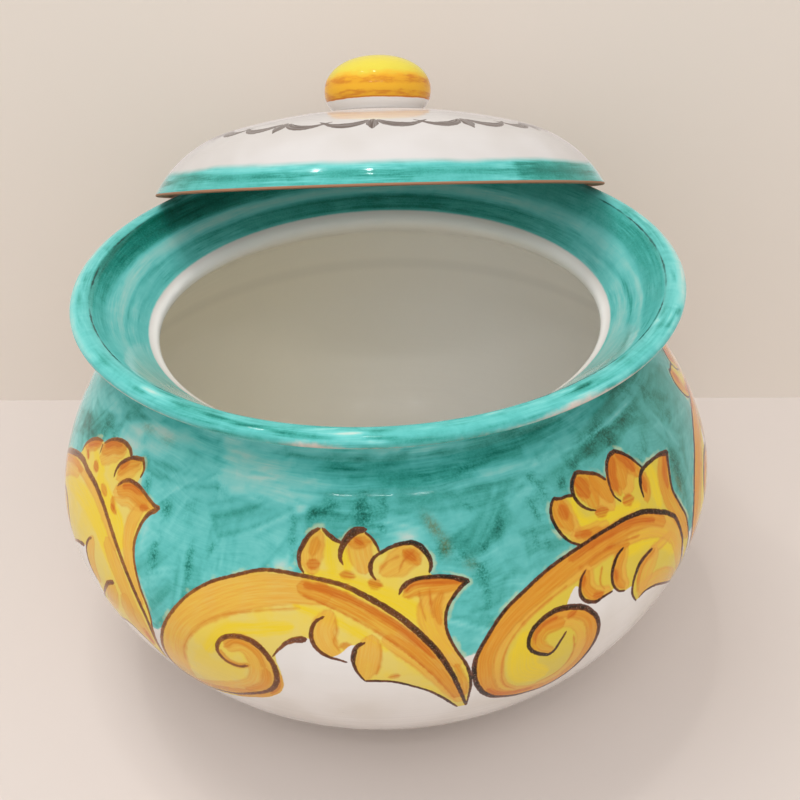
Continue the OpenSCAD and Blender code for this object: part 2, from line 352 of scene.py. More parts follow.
# %% The scroll left of the middle
SCROLL_ONE = dict(
    ends=(-36.5, 12.4),
    lines=dict(
        rib=((1.2, 1.3, 1.3, 1.0, 1.1, 1.3, 1.9, 2.0, 1.4, 0.8), [
            (-35.2, -37.5), (-36.6, -32), (-37, -24), (-36.4, -13), (-35.2, -3), (-33.2, 7.5),
            (-30.3, 17.5), (-26.5, 25.5), (-22, 30.8), (-17.5, 34.6), (-12, 34.7), (-6, 33),
            (-2, 29.5), (2, 24), (5, 18), (8, 9.5), (10, 0), (11.3, -10), (12.3, -19), (12.8, -24)]),
        curl=(CURL_WIDTHS, CURL),
        horn=((0.5, 0.9, 1.7, 2.2), [
            (-15.5, 5), (-14.8, 7.5), (-13.5, 11), (-12.2, 12.8), (-10.9, 13.4)]),
        petal_1=((0.7, 1.3, 1.5, 1.0), [
            (-11.3, 35.6), (-12, 38), (-12.2, 41.5), (-11.6, 45), (-10.6, 48.2), (-9.3, 50.1)]),
        petal_1_right=((1.0, 1.4, 0.8), [(-8.6, 50), (-7.6, 48.3), (-6.5, 46.8), (-5.6, 46)]),
        petal_2=((0.5, 1.3, 1.9, 2.6, 1.6), [
            (-5.1, 39), (-5.6, 41), (-5.5, 44), (-4.6, 47.5), (-3.3, 49.8), (-1.9, 50.3)]),
        petal_2_right=((0.7, 0.9, 0.6), [(-1.6, 49.3), (-0.6, 47.5), (0.2, 45), (0.5, 43)]),
        petal_3=((0.6, 1.4, 0.9, 1.2, 1.8), [
            (-0.2, 34.5), (-0.8, 36.5), (-0.9, 39), (-0.4, 41.3), (1, 43.3), (3, 45), (5.5, 45.6),
            (7, 44.2)]),
        petal_3_right=((1.8, 1.3, 0.8), [(7, 44.2), (8.1, 41), (8.4, 38), (8, 35.5)]),
        leaf_top=((0.5, 1.5, 1.2, 1.3, 1.8), [
            (3.2, 29), (3.6, 31), (4.7, 33), (6.3, 34), (9, 34), (11.5, 33), (13.5, 31)]),
        leaf_side=((1.4, 1.0, 0.9, 0.9, 1.1, 0.9, 0.5), [
            (13.5, 31), (11.8, 28), (10.3, 24), (9.7, 19), (10, 14), (11, 8), (12.1, 3),
            (12.8, -3), (13, -9), (12.9, -16), (12.8, -24)]),
        hang_1=((0.7, 1.4, 1.1, 0.6), [
            (-7.9, 21.8), (-9.1, 20), (-9.7, 16.5), (-9.5, 12.8), (-8.6, 10), (-7.2, 8),
            (-5.9, 7.2), (-4.7, 6.3)]),
        hang_2=((1.1, 1.5, 1.0, 0.6), [
            (-2.2, 13.4), (-3.2, 12), (-3.7, 8), (-3.6, 5), (-3, 1.5), (-2.2, -1.5)]),
        under=((0.9, 1.0, 0.9, 1.1, 0.6), [
            (-2.2, -1.6), (0, -1.6), (2, -2.3), (4.5, -5), (7, -9), (9, -14.5), (10.6, -20.5),
            (11.4, -24)]),
    ),
    fills=[
        ["rib", "-under", "-hang_2", [(-4.2, 12.5), (-5.5, 9.5), (-7.2, 8), (-8.6, 10),
         (-9.5, 12.8), (-10.4, 14.2), (-12, 13.3), (-13.9, 11), (-15, 6), (-14.4, -1),
         (-14.3, -7), (-15.2, -13), (-17.6, -19), (-21, -24), (-25, -29.5), (-30, -35)]],
        [[(-12, 34)], "petal_1", "petal_1_right", [(-5.4, 45), (-4.6, 47.5), (-3.3, 49.8)],
         "petal_2_right", [(1, 43.3), (3, 45), (5.5, 45.6)], "petal_3_right",
         [(8.2, 35), (9, 34.2), (11.5, 33)], "leaf_side", [(10, 0), (5, 18), (-2, 29.5)]],
    ],
    lemon=[
        (6.5, [(-10, 34.2), (-5, 33.3), (0, 30), (4.2, 25), (7.2, 18.5), (9.6, 9)]),
        (4, [(-7.3, 47), (-7.2, 42), (-6.8, 37)]),
        (4, [(-4.8, 43), (-4.4, 38)]),
        (3, [(-12, 24.5), (-7, 21.5), (-2.5, 16.5), (1, 11)]),
        (5, [(-26, 1), (-23, 10.5), (-17.5, 14.5), (-13, 17)]),
    ],
    amber=[
        (12.5, [(-35.4, -34), (-35, -24), (-34, -13), (-32.8, -1), (-30.2, 10), (-25.7, 19),
                (-20, 26), (-14, 29.2), (-8.5, 29.5)]),
        (9, [(-34, -34.5), (-30, -29.5), (-26, -23.5), (-22, -17.5), (-18.8, -11.5), (-17.5, -4),
             (-17.6, 2), (-18.8, 6.3), (-20.6, 7.4), (-22.2, 5.6)]),
        (6, [(1.5, 14), (4, 9.5), (6.5, 3.5), (8.8, -4.5), (10.6, -12.5), (11.6, -18)]),
        (7.5, [(-7.4, 21.5), (-8, 17), (-7.4, 12.5), (-6.4, 9.5)]),
        (8, [(-1.2, 13), (-1.6, 7), (-2.2, 1)]),
        (8, [(-9.9, 47), (-10.4, 42), (-10, 37.5)]),
        (8, [(-2.6, 47.5), (-2.6, 44), (-2, 38.5)]),
        (9, [(5.6, 42.5), (4.2, 40.5), (1.6, 37.5)]),
        (8.5, [(11.4, 30.3), (9, 27.5), (7.6, 23), (8, 17), (9.2, 11), (10.8, 4)]),
    ],
    gold=[
        (6.2, [(-11, 30.6), (-8, 29.2), (-4, 25.7), (0, 20.7), (4, 13.7), (7.5, 4.7), (9.7, -5),
               (11.3, -14)]),
        (0.6, [(-31.7, -12), (-30.7, -3), (-28, 8), (-23.6, 16), (-18, 20.7), (-11.6, 24)]),
        (2.6, [(-24, 1.5), (-22.9, -1.6), (-21.2, -2.3), (-19.4, -0.9)]),
        (2.2, [(-22.8, 5), (-21.4, 7.8), (-19.4, 7.6), (-17.6, 4.6), (-16.9, 0)]),
        (3.4, [(-16.7, -2), (-16.9, -7), (-18.2, -12), (-21, -17)]),
        (2.6, [(-14.5, -3), (-15, -10), (-16.8, -16), (-20, -21.2), (-24, -27)]),
        (3, [(-33.5, -33), (-28.5, -27.5), (-23.5, -21.5), (-19.5, -17)]),
        (3.4, [(-9.6, 46), (-10.1, 42)]),
        (4.4, [(-3.6, 46), (-1.6, 46.4)]),
        (5, [(5, 42), (6.3, 39.5)]),
        (5.4, [(12.3, 31.2), (9.5, 31), (6.5, 31), (4.5, 29.4)]),
        (2.4, [(9.4, 28), (8.7, 24), (8.9, 19)]),
        (0.6, [(-6.1, 21), (-5.9, 17), (-6.4, 13.5), (-5.6, 10.5)]),
        (0.6, [(0.2, 13), (0.3, 9), (0, 5), (-0.5, 1.5)]),
        (2.6, [(10.8, 2), (11.9, -6), (12.3, -14)]),
    ],
    orange=[
        (2.8, [(-10.6, 31.6), (-7, 30.4), (-3, 27.2), (1, 22), (4.5, 15.5), (7.6, 7)]),
        (0.5, [(-11, 28.2), (-7.4, 25.8), (-3, 21), (1, 15.3), (4.3, 8.7), (7.2, 0.5), (9.2, -8),
               (10.8, -16)]),
        (0.8, [(-23.4, -1.6), (-21.6, -2.6), (-19.6, -1.6)]),
        (1.0, [(-14.8, -5), (-15.3, -10.5), (-17, -16)]),
        (4, [(-10.2, 38.6), (-9.2, 38.8)]),
        (2.6, [(-3, 46.8), (-2.2, 45.8)]),
        (3, [(-5, 35.9), (-3.6, 35.5)]),
        (3.4, [(-0.8, 33.3), (0.5, 32.5)]),
        (0.5, [(0.4, 36.6), (1.6, 40), (3.6, 41.6)]),
        (0.5, [(3.4, 36.6), (4.2, 40), (5.8, 42.6)]),
        (3, [(4.9, 42.2), (6, 40.2)]),
        (2.2, [(4.3, 30.6), (5.2, 32.2), (7.5, 32.6), (10, 32.2), (12.3, 31.2)]),
        (0.6, [(6.2, 30), (6.4, 25), (6.9, 20)]),
        (0.6, [(7.8, 30), (7.8, 26), (8, 21)]),
        (2.4, [(-5.1, 12), (-4.2, 12.6)]),
        (2.2, [(1.5, 0.2), (2.5, 0.6)]),
    ],
    ground=[(-36.5, -2), (-33.5, 2), (-30, 12), (-26, 21), (-21, 28), (-15, 31.5), (-9, 31),
            (-4, 27), (0, 22), (4, 15), (8, 7), (10.5, 4.5), (12.4, 5)],
)
print("First scroll:", len(SCROLL_ONE["lines"]), "brush lines")

# %% [markdown]
# The second scroll stands right of the middle. It is broader, its curl turns the other way, and it
# has one more leaf hanging inside.

# %% The scroll right of the middle
SCROLL_TWO = dict(
    ends=(12.4, 59.2),
    lines=dict(
        rib=((1.2, 1.6, 1.8, 1.6, 1.2, 1.2, 1.2, 1.7, 1.7, 1.2, 0.8), [
            (25.9, -30), (23.6, -28.7), (21, -27), (18.8, -24.3), (17, -21.7), (15.8, -18.3),
            (14.9, -15), (13.8, -8.3), (13.4, -1), (13.9, 5), (15.8, 11.7), (18.5, 18.3),
            (22, 23), (26, 27), (30.5, 29.4), (36.3, 30.8), (40, 30.7), (43.2, 30.3), (47.9, 27.7),
            (52.2, 22), (54, 18.7), (55.3, 14.7), (56.1, 5.3), (56, 0.7), (57, -8), (58.3, -16),
            (59, -20)]),
        curl=((0.8, 1.4, 1.3, 1.6, 2.0, 1.5, 1.4, 1.3), [
            (27.9, 3), (26.9, -0.3), (26.2, -3), (25.3, -4.5), (24.5, -3.7), (23.2, -1.7),
            (22.1, 1), (21.7, 3.7), (22, 7), (22.9, 9.7), (24.5, 11.7), (26.2, 12.7), (28, 12.5),
            (30, 11), (31.6, 9), (32.7, 6.3), (33.6, 3), (34.2, -3), (33.9, -10.3), (32.7, -18.3),
            (31.4, -23.7), (30, -27), (28.2, -29.3), (25.9, -30)]),
        petal_1=((0.8, 1.1, 1.0), [
            (33.1, 30.7), (31.6, 33), (30.5, 36.3), (29.8, 40), (29.6, 44), (30.2, 47),
            (31.1, 48.7)]),
        petal_1_top=((1.1, 0.9), [(31.1, 48.5), (32.2, 47.7), (33.7, 47.5), (34.8, 46.7)]),
        petal_2=((1.5, 1.4, 1.0, 0.5), [
            (37, 53), (35.7, 51), (35, 48.3), (35.1, 45), (36, 41.7), (37.1, 39.7),
            (38.2, 38.5)]),
        petal_2_right=((1.4, 1.2, 0.9), [(37, 53), (37.9, 52.7), (39.5, 51), (41.2, 49), (42.4, 46)]),
        petal_3=((1.5, 1.3, 0.9, 0.6), [
            (47, 52), (45.6, 52), (44.1, 50), (43.2, 46.7), (42.7, 42.7), (42.8, 39.3),
            (43.7, 36.5)]),
        petal_3_right=((1.4, 1.1, 0.7), [
            (47, 52.3), (48.4, 50.3), (49.9, 47), (50.8, 44), (51.6, 41)]),
        leaf_top=((0.6, 1.6, 1.4, 1.2, 2.0), [
            (49, 32), (49.2, 35.3), (49.9, 38), (51.1, 40), (53.1, 40.3), (55.4, 39.7),
            (57.7, 38.8), (60, 36.7)]),
        leaf_side=((1.6, 1.3, 1.1, 1.0, 0.9, 0.8), [
            (60, 36.7), (58.6, 32.7), (57.3, 28), (56.9, 24.7), (57.3, 20), (58, 15.3),
            (58.6, 10.7), (58.7, 0.7), (58.9, -8), (59.1, -16), (59, -21)]),
        hang_1=((0.7, 1.3, 1.2, 0.7), [
            (32.9, 21.7), (31.9, 20), (31.2, 16.7), (31.2, 14), (31.9, 11.3), (33.1, 9.7),
            (34, 9.1), (35, 9.5), (36.9, 9.5)]),
        hang_2=((0.8, 1.3, 1.0, 0.6), [
            (40.9, 21.7), (39.5, 20.7), (38.2, 18), (37.4, 14.7), (37.4, 11.3), (38.2, 8.3),
            (39.5, 6.7)]),
        hang_3=((1.0, 1.4, 1.1, 0.6), [
            (47, 13.9), (45.6, 13.7), (43.8, 12.7), (42.4, 10.3), (41.5, 7.3), (41.1, 4),
            (41.5, 1), (42.2, -1.5)]),
        under=((0.7, 1.0, 1.0, 0.6), [
            (42.8, -1.3), (44.1, -0.3), (45.8, -1), (47.9, -3), (49.9, -6), (51.9, -9.3),
            (54.5, -14), (57, -19), (58.8, -22)]),
    ),
    fills=[
        ["rib", "-under", [(42.2, -1.5), (41.5, 1), (41.1, 4), (41.3, 6.5), (39.5, 6.7),
         (38.2, 8.3), (37.5, 10.5), (36.9, 9.8), (35, 9.3), (34, 9.1), (33.1, 9.7),
         (31.9, 11.3), (31.2, 14), (31.2, 16.7), (30.4, 18), (28.5, 12.9), (30, 11.2),
         (31.6, 9.3), (32.7, 6.3), (33.6, 3), (34.2, -3), (33.9, -10.3), (32.7, -18.3),
         (31.4, -23.7), (30, -27), (28.2, -29.3)]],
        ["petal_1", "petal_1_top", [(35.3, 49), (37, 53)], "petal_2_right",
         [(43.6, 48.5), (45.6, 52)], "petal_3_right",
         [(51.4, 40.3), (53.1, 40.3), (55.4, 39.7), (57.7, 38.8)], "leaf_side",
         [(56.1, 5.3), (54, 18.7), (50, 25), (43.2, 30), (36.3, 30.5)]],
    ],
    lemon=[
        (5, [(34.5, 36), (38, 34.6), (43, 33.6), (47, 31.5)]),
        (6, [(53.2, 38), (52.8, 32), (52.3, 26)]),
        (7, [(41, 21), (46, 19), (50.5, 13), (52.5, 6)]),
        (11, [(24, -15), (21.4, -9), (20.9, -1), (21.4, 6)]),
        (3, [(34.6, 46), (34.2, 41), (35.5, 37)]),
    ],
    amber=[
        (10.5, [(23, -26), (19.5, -22), (17.1, -16), (15.9, -8), (15.7, 0), (16.5, 7),
                (18.8, 13.5), (22.2, 18.8), (26, 22.2), (31, 25), (36, 26.5), (40, 26.7),
                (44.5, 25.5), (48.5, 22.2), (51.5, 17.5), (53.7, 10.5), (54.8, 2), (56.4, -8)]),
        (9, [(22.5, -25.5), (26, -25.8), (29.3, -22.3), (31.2, -15), (31.9, -7), (31.7, 1),
             (30.2, 6.6), (28, 8.9), (25.3, 9.3)]),
        (6, [(33.2, 20.5), (32.8, 16.5), (33.7, 12.4), (36, 11)]),
        (7, [(40.8, 20.5), (39.3, 17), (39, 12.5), (39.8, 9)]),
        (9, [(47, 11.5), (44.8, 8), (43.7, 3)]),
        (4, [(44, 12.2), (48, 13), (52.5, 12.4)]),
        (9, [(44, 1.5), (48, -0.5), (51, -5), (54, -11)]),
        (8, [(31.9, 45.5), (31.9, 41), (33, 36)]),
        (5, [(32.8, 34), (36, 33), (39, 32.6)]),
        (9, [(40.6, 47), (40.8, 42), (41.3, 38)]),
        (13, [(47, 50), (46.9, 45), (46.4, 40)]),
    ],
    gold=[
        (7.5, [(25, -27.3), (20.6, -25), (17, -20), (15.4, -13), (14.8, -4), (15, 4),
               (16.8, 11), (20, 17), (24.5, 21.8), (30, 25.6), (36, 27.6), (40, 28),
               (44.5, 27), (48.5, 24), (51.3, 19.6)]),
        (5.2, [(26, -27.6), (29, -25.6), (31.6, -19.5), (32.8, -12), (33, -4), (32.3, 3.6),
               (30.6, 8.4), (28.3, 10.6), (26, 11)]),
        (5.5, [(27, 7.6), (24.6, 7.6), (23.2, 4.4), (23.7, 0.4), (25.2, -2.2)]),
        (4.4, [(32.8, 20.4), (32.2, 16.5), (33.2, 12.4), (34.6, 11)]),
        (4.6, [(40.6, 20.8), (38.9, 17.5), (38.4, 13), (39.2, 9)]),
        (2.6, [(42, 21.8), (38, 23.6), (34, 23)]),
        (2, [(47.5, 13), (44.5, 11.5), (42.8, 7.6), (42.3, 3)]),
        (6.4, [(31.5, 46), (31.6, 42), (32.3, 38)]),
        (9, [(37.3, 50.2), (38.2, 46), (38.4, 42)]),
        (7, [(40.4, 48), (41.4, 44), (41.8, 40)]),
        (5, [(45.2, 50), (44, 45), (44.2, 39.5)]),
        (8, [(47.5, 50.5), (49.2, 46.5), (49.8, 41.5)]),
        (9, [(46.8, 50.5), (46.2, 47), (45.6, 42)]),
        (3, [(34.2, 33), (37.5, 32.4)]),
        (5.4, [(50.9, 38), (50.4, 34.5), (49.7, 31)]),
        (8, [(58.4, 36.4), (56.2, 32), (55.2, 27), (55.5, 21), (56.7, 13), (57.7, 5)]),
    ],
    orange=[
        (2.2, [(26.5, 10.4), (24.3, 9.6), (22.9, 6.6), (22.8, 3.4)]),
        (2.4, [(28.6, 8.6), (29.8, 9.4)]),
        (3, [(31, 27.6), (36, 29), (41, 28.8), (45.5, 26.8), (49.4, 22.6)]),
        (0.5, [(20.6, -20.5), (18.6, -15), (17.7, -8), (17.7, 0), (18.9, 7), (21.4, 12.6),
               (25, 16.6), (29, 19.6)]),
        (0.5, [(24.5, -21.6), (27.6, -19.8), (29.3, -14), (29.7, -7), (29.3, 0)]),
        (1.3, [(38, 25.2), (39.4, 24.4)]),
        (0.6, [(31.8, 23.4), (36, 24.8), (41, 24), (45, 21.8)]),
        (2.6, [(16, -15), (17.6, -19.6), (20.4, -23.4), (24, -25.6)]),
        (4, [(31.9, 44.4), (32.1, 41)]),
        (3.2, [(33.2, 34), (35.5, 32.8)]),
        (6.5, [(36.9, 49.3), (37.6, 45.4)]),
        (4, [(38.5, 37.4), (40, 36.7)]),
        (4.2, [(45.6, 50.2), (44.1, 46), (43.9, 41)]),
        (5, [(47.8, 50.4), (49, 46.8), (49.4, 43)]),
        (4.4, [(44.8, 35.4), (46.2, 34.8)]),
        (3, [(50.7, 37.6), (50.2, 33.4)]),
        (3.6, [(58.8, 36.6), (56.8, 32.4), (55.9, 28)]),
        (2.4, [(32.3, 20), (31.9, 17)]),
        (2.4, [(33.6, 11.6), (35.2, 11)]),
        (2, [(38.3, 16), (38.2, 12.4)]),
        (0.5, [(36, 20), (35, 15.5), (35.6, 12)]),
    ],
    ground=[(12.4, 5), (16, 8), (18, 15), (22, 21), (27, 25), (33, 27.5), (40, 28), (46, 26.5),
            (50, 22.5), (53, 16), (55, 8), (57.2, 3), (59.2, 2)],
)
print("Second scroll:", len(SCROLL_TWO["lines"]), "brush lines")

# %% [markdown]
# The third scroll is at the left side. Its curl is the first scroll's, moved round.

# %% The scroll at the left side
SCROLL_THREE = dict(
    ends=(-88, -36.5),
    lines=dict(
        rib=((1.2, 1.4, 1.5, 2.2, 2.2, 2.0, 1.8, 1.6, 0.9), [
            (-85.4, -37.5), (-86.8, -32), (-87.2, -24), (-86.6, -13), (-85, -3), (-82.5, 7.5),
            (-79, 16), (-75, 22.5), (-70, 28.7), (-65.9, 31.7), (-63, 31.8), (-59.9, 32),
            (-57.5, 31.7), (-54.9, 30.3), (-52.6, 28.5), (-48, 22.7), (-43, 14), (-39.3, 5.3),
            (-37.8, -2), (-37.7, -15), (-37.8, -20)]),
        curl=(CURL_WIDTHS, moved_round(CURL, -50.2)),
        horn=((0.6, 1.2, 1.6), [(-63, -0.7), (-61.6, 1.7), (-59.9, 4.1), (-58.4, 5.7), (-57, 7)]),
        petal_1=((0.8, 1.3, 1.3, 0.8), [
            (-68, 33), (-67.8, 36), (-66.8, 39), (-65.4, 41.7), (-63.6, 44), (-61.6, 45.6)]),
        petal_1_right=((0.8, 0.7), [(-60.6, 41.5), (-60.8, 43), (-61, 44.7)]),
        petal_2=((0.8, 1.3, 1.5, 1.4), [
            (-60.7, 45.7), (-59.3, 48.7), (-57.5, 51), (-55.5, 52.5), (-53.5, 53), (-52, 52.5),
            (-51, 51.3)]),
        petal_3=((0.8, 1.4, 1.4, 1.5), [
            (-53.1, 40.3), (-53.3, 43), (-52.9, 46), (-51.7, 48.7), (-50.3, 51), (-48.6, 52.3),
            (-47.5, 53)]),
        petal_3_right=((1.2, 1.0, 0.7), [(-47.5, 53), (-46.8, 52), (-46.1, 50), (-46.2, 47.3)]),
        leaf_top=((0.8, 1.4, 1.4, 1.2, 1.8), [
            (-51.2, 39), (-50, 42), (-48.6, 43.8), (-46.8, 44.3), (-44.8, 44.1), (-42.5, 42.8),
            (-40.4, 41.7), (-39.6, 41.7)]),
        leaf_side=((1.6, 1.3, 1.1, 1.0, 0.9, 0.8), [
            (-39.8, 41), (-41.3, 38), (-42.2, 34), (-42.6, 29.3), (-42.6, 25.3), (-41.9, 20.7),
            (-40.7, 16), (-39.3, 11.3), (-37.8, 6.7), (-37.1, 2), (-37.2, -2), (-37.5, -12),
            (-37.8, -22)]),
        hang_1=((0.8, 1.3, 1.1, 0.6), [
            (-54.2, 14), (-55.2, 12.3), (-55.8, 9.3), (-55.7, 6), (-54.9, 2.7), (-53.8, 0),
            (-52.6, -2)]),
        hang_2=((1.8, 1.5, 1.0, 0.7), [
            (-46.5, 5.7), (-48, 3.3), (-49.1, 0), (-50.3, -4), (-51.4, -8), (-52.6, -11.7)]),
        under=((0.7, 1.1, 1.0, 0.6), [
            (-48.7, -17), (-47.1, -14.3), (-45.4, -12.3), (-43.9, -12), (-42.2, -13.7),
            (-40.7, -16.7), (-38.2, -24)]),
    ),
    fills=[
        ["rib", "-under", [(-51.5, -15), (-52.6, -11.7), (-51.4, -8), (-52.4, -2), (-53.8, 0),
         (-54.9, 2.7), (-55.7, 6), (-56, 8.2), (-57, 7), (-58.4, 5.7), (-61, 2.5), (-63, -0.7),
         (-65, -6), (-66.2, -11.5), (-68, -16), (-71.3, -21.5), (-75, -28), (-80, -34)]],
        [[(-68.3, 31)], "petal_1", [(-60.9, 45.7)], "petal_2",
         [(-51.2, 49.7), (-50.3, 51), (-48.6, 52.3)], "petal_3_right",
         [(-46.6, 44.8), (-44.8, 44.1), (-42.5, 42.8), (-40.4, 41.7)], "leaf_side",
         [(-39.3, 5.3), (-48, 22.7), (-54.9, 30)]],
    ],
    lemon=[
        (8, [(-72, 15), (-66, 20.5), (-60, 23), (-55, 22.5), (-50.5, 18.5), (-46.5, 11)]),
        (7, [(-57, 35), (-52, 31.6), (-48, 28), (-45.8, 22)]),
        (4, [(-62.5, 40), (-60, 38.5), (-57, 38.5)]),
    ],
    amber=[
        (10, [(-85.5, -32), (-84.7, -18), (-83, -6), (-80.3, 5), (-76.5, 13.5), (-71.5, 21.5),
              (-66.5, 26.5)]),
        (3.5, [(-68, 27.5), (-61, 29.3), (-56, 28.5), (-51, 24.5), (-47, 19)]),
        (7, [(-49, 18), (-46, 13), (-43, 6.5), (-40.3, -2), (-39, -12)]),
        (6.5, [(-81.7, -32), (-77.2, -25.5), (-72.7, -19), (-69, -11.5), (-67.5, -4),
               (-67.4, 2), (-69.2, 7), (-70.9, 8)]),
        (6, [(-54, 12.6), (-54, 8), (-53, 3), (-51.5, 0)]),
        (8, [(-46.5, 2), (-47.6, -3), (-49, -9)]),
        (8, [(-43, 2), (-42.6, -5), (-41, -11)]),
        (9, [(-58.6, 43), (-56.4, 47.5), (-54, 49.6)]),
        (7, [(-51.4, 43), (-50, 47), (-48, 50)]),
        (9, [(-50, 37.5), (-47, 40), (-43.5, 39.5)]),
        (6, [(-43.8, 37), (-44.6, 31), (-44, 24), (-41.6, 14.5), (-39.4, 7)]),
    ],
    gold=[
        (2.6, [(-80, 10), (-75, 19.4), (-70, 25.6), (-64.5, 28.6)]),
        (6, [(-66.6, 37.5), (-64.6, 41), (-62.2, 43.6)]),
        (6, [(-59.6, 44.5), (-57, 49), (-54, 51)]),
        (4.6, [(-52, 44), (-50.6, 48), (-48.4, 51)]),
        (6.5, [(-50, 39), (-47.5, 41.4), (-44, 41.4), (-41.6, 40.8)]),
        (3, [(-55.4, 34), (-53.6, 33)]),
        (2.6, [(-51.2, 33.6), (-50, 31)]),
        (1.4, [(-46.8, 5.4), (-48.6, 2.4)]),
        (3.4, [(-39.6, -8), (-39.4, -15)]),
    ],
    orange=[
        (3, [(-66, 38.6), (-64, 42), (-62, 44.4)]),
        (3, [(-59.6, 46), (-57.4, 49.6), (-55, 51.2)]),
        (2.2, [(-52.2, 45.2), (-50.8, 48.6)]),
        (2.4, [(-49.4, 40.8), (-47.4, 42.6), (-44.4, 42.6)]),
        (2.6, [(-43.4, 38.6), (-42, 39.6)]),
        (4, [(-60.6, 36.9), (-59.2, 36.4)]),
        (2.6, [(-65.4, 36), (-64, 35.2)]),
        (2.4, [(-50.8, 31.3), (-49.2, 30.5)]),
        (1.4, [(-73.4, -0.6), (-71.8, -1.8), (-69.8, -1.2)]),
        (2.4, [(-39.4, -9), (-39.2, -14)]),
    ],
    ground=[(-88, 2), (-84, 6), (-80, 13), (-75, 20), (-69, 27), (-62, 29), (-56, 28),
            (-51, 23), (-46, 14), (-42, 5), (-39, 0), (-36.5, -2)],
)
print("Third scroll:", len(SCROLL_THREE["lines"]), "brush lines")

# %% [markdown]
# Each scroll is set down between two joints of the border: the list gives the scroll, the degrees
# where it starts and how far it wanders. A repeat is stretched a little and wanders by about a
# millimetre, as a hand does, so that it doesn't look stamped.

# %% Setting the scrolls round the belly
BORDER = [(SCROLL_THREE, -88.0, 0.0), (SCROLL_ONE, -36.5, 0.0), (SCROLL_TWO, 12.4, 0.0),
          (SCROLL_TWO, 59.2, 0.8), (SCROLL_ONE, 112.0, 1.0), (SCROLL_THREE, 165.0, 0.9),
          (SCROLL_TWO, 218.5, 1.1), (None, 272.0, 0.0)]
OUTLINE_WEIGHT = 1.15
WASHES = ("lemon", "amber", "gold", "orange")


def smooth_path(points, per_step=6):
    """Catmull-Rom curve through the points: each step is a cubic whose slope at a point is half
    the way from the point before it to the point after it."""
    p = np.asarray(points, float)
    before = np.vstack([2 * p[0] - p[1], p[:-1]])
    after = np.vstack([p[1:], 2 * p[-1] - p[-2]])
    slope = (after - before) / 2
    t = np.linspace(0, 1, per_step, endpoint=False)[None, :, None]
    curve = ((2 * t**3 - 3 * t**2 + 1) * p[:-1, None] + (t**3 - 2 * t**2 + t) * slope[:-1, None]
             + (3 * t**2 - 2 * t**3) * p[1:, None] + (t**3 - t**2) * slope[1:, None])
    return np.vstack([curve.reshape(-1, 2), p[-1]])


def set_down(path, scroll, start, end, wander):
    """Moves a path of the drawing to its place: the degrees are shifted and stretched so that the
    drawing's ends fall on start and end, and both numbers get a slow sine of size wander."""
    low, high = scroll["ends"]
    place = (path[:, 0] - low) / (high - low)
    x = start + place * (end - start) + 0.35 * wander * np.sin(7 * place + 0.11 * path[:, 1] + start)
    y = path[:, 1] * (1 + 0.03 * wander * np.cos(start)) + wander * np.sin(9 * place + 2 * start)
    return np.column_stack([x, y])


def fill_part(part, paths):
    """A stretch of a fill's outline: its own points, a brush line, or a line taken backwards."""
    if isinstance(part, list):
        return smooth_path(part) if len(part) > 2 else np.array(part, float)
    return paths[part[1:]][::-1] if part[0] == "-" else paths[part]


def painted_border(border):
    """All brush lines and washes as (kind, path, half widths along it), the outlines of the yellow
    fills, and the lower edge of the turquoise, each a path in degrees and millimetres."""
    strokes, fills, edge = [], [], []
    for (scroll, start, wander), (_, end, _) in zip(border[:-1], border[1:]):
        paths = {name: smooth_path(points) for name, (_, points) in scroll["lines"].items()}
        for name, (widths, _) in scroll["lines"].items():
            placed = set_down(paths[name], scroll, start, end, wander)
            spread = np.interp(np.linspace(0, 1, len(placed)), np.linspace(0, 1, len(widths)),
                               widths)
            strokes.append(("line", placed, OUTLINE_WEIGHT * spread / 2))
        for kind in WASHES:
            for width, points in scroll[kind]:
                placed = set_down(smooth_path(points), scroll, start, end, wander)
                taper = np.interp(np.linspace(0, 1, len(placed)), (0, 0.15, 0.75, 1),
                                  (0.8, 1, 1, 0.6))
                strokes.append((kind, placed, taper * width / 2))
        for outline in scroll["fills"]:
            closed = np.vstack([fill_part(part, paths) for part in outline])
            fills.append(set_down(closed, scroll, start, end, wander))
        edge.append(set_down(np.array(scroll["ground"], float), scroll, start, end, wander))
    return strokes, fills, np.vstack(edge)


strokes, fills, ground_edge = painted_border(BORDER)
print("The border has", len(strokes), "strokes and", len(fills), "yellow fills")

# %% [markdown]
# To paint with real brush strokes, every point of the skin learns where it lies against the
# nearest stroke: how far to its left or right (the sign matters, since halfway between two points
# the middle of the stroke must read zero), how wide the stroke is there, and how far along it.
# Away from a stroke the width drops below zero, so nothing is painted there. A degree round the
# pot is pi / 180 of the radius in millimetres.

# %% Where a point lies against a stroke
ARC_PER_DEGREE = np.pi / 180
EDGE_ROOM = 1.15


def wrapped(degrees):
    """The same angle between -180 and 180."""
    return (degrees + 180) % 360 - 180


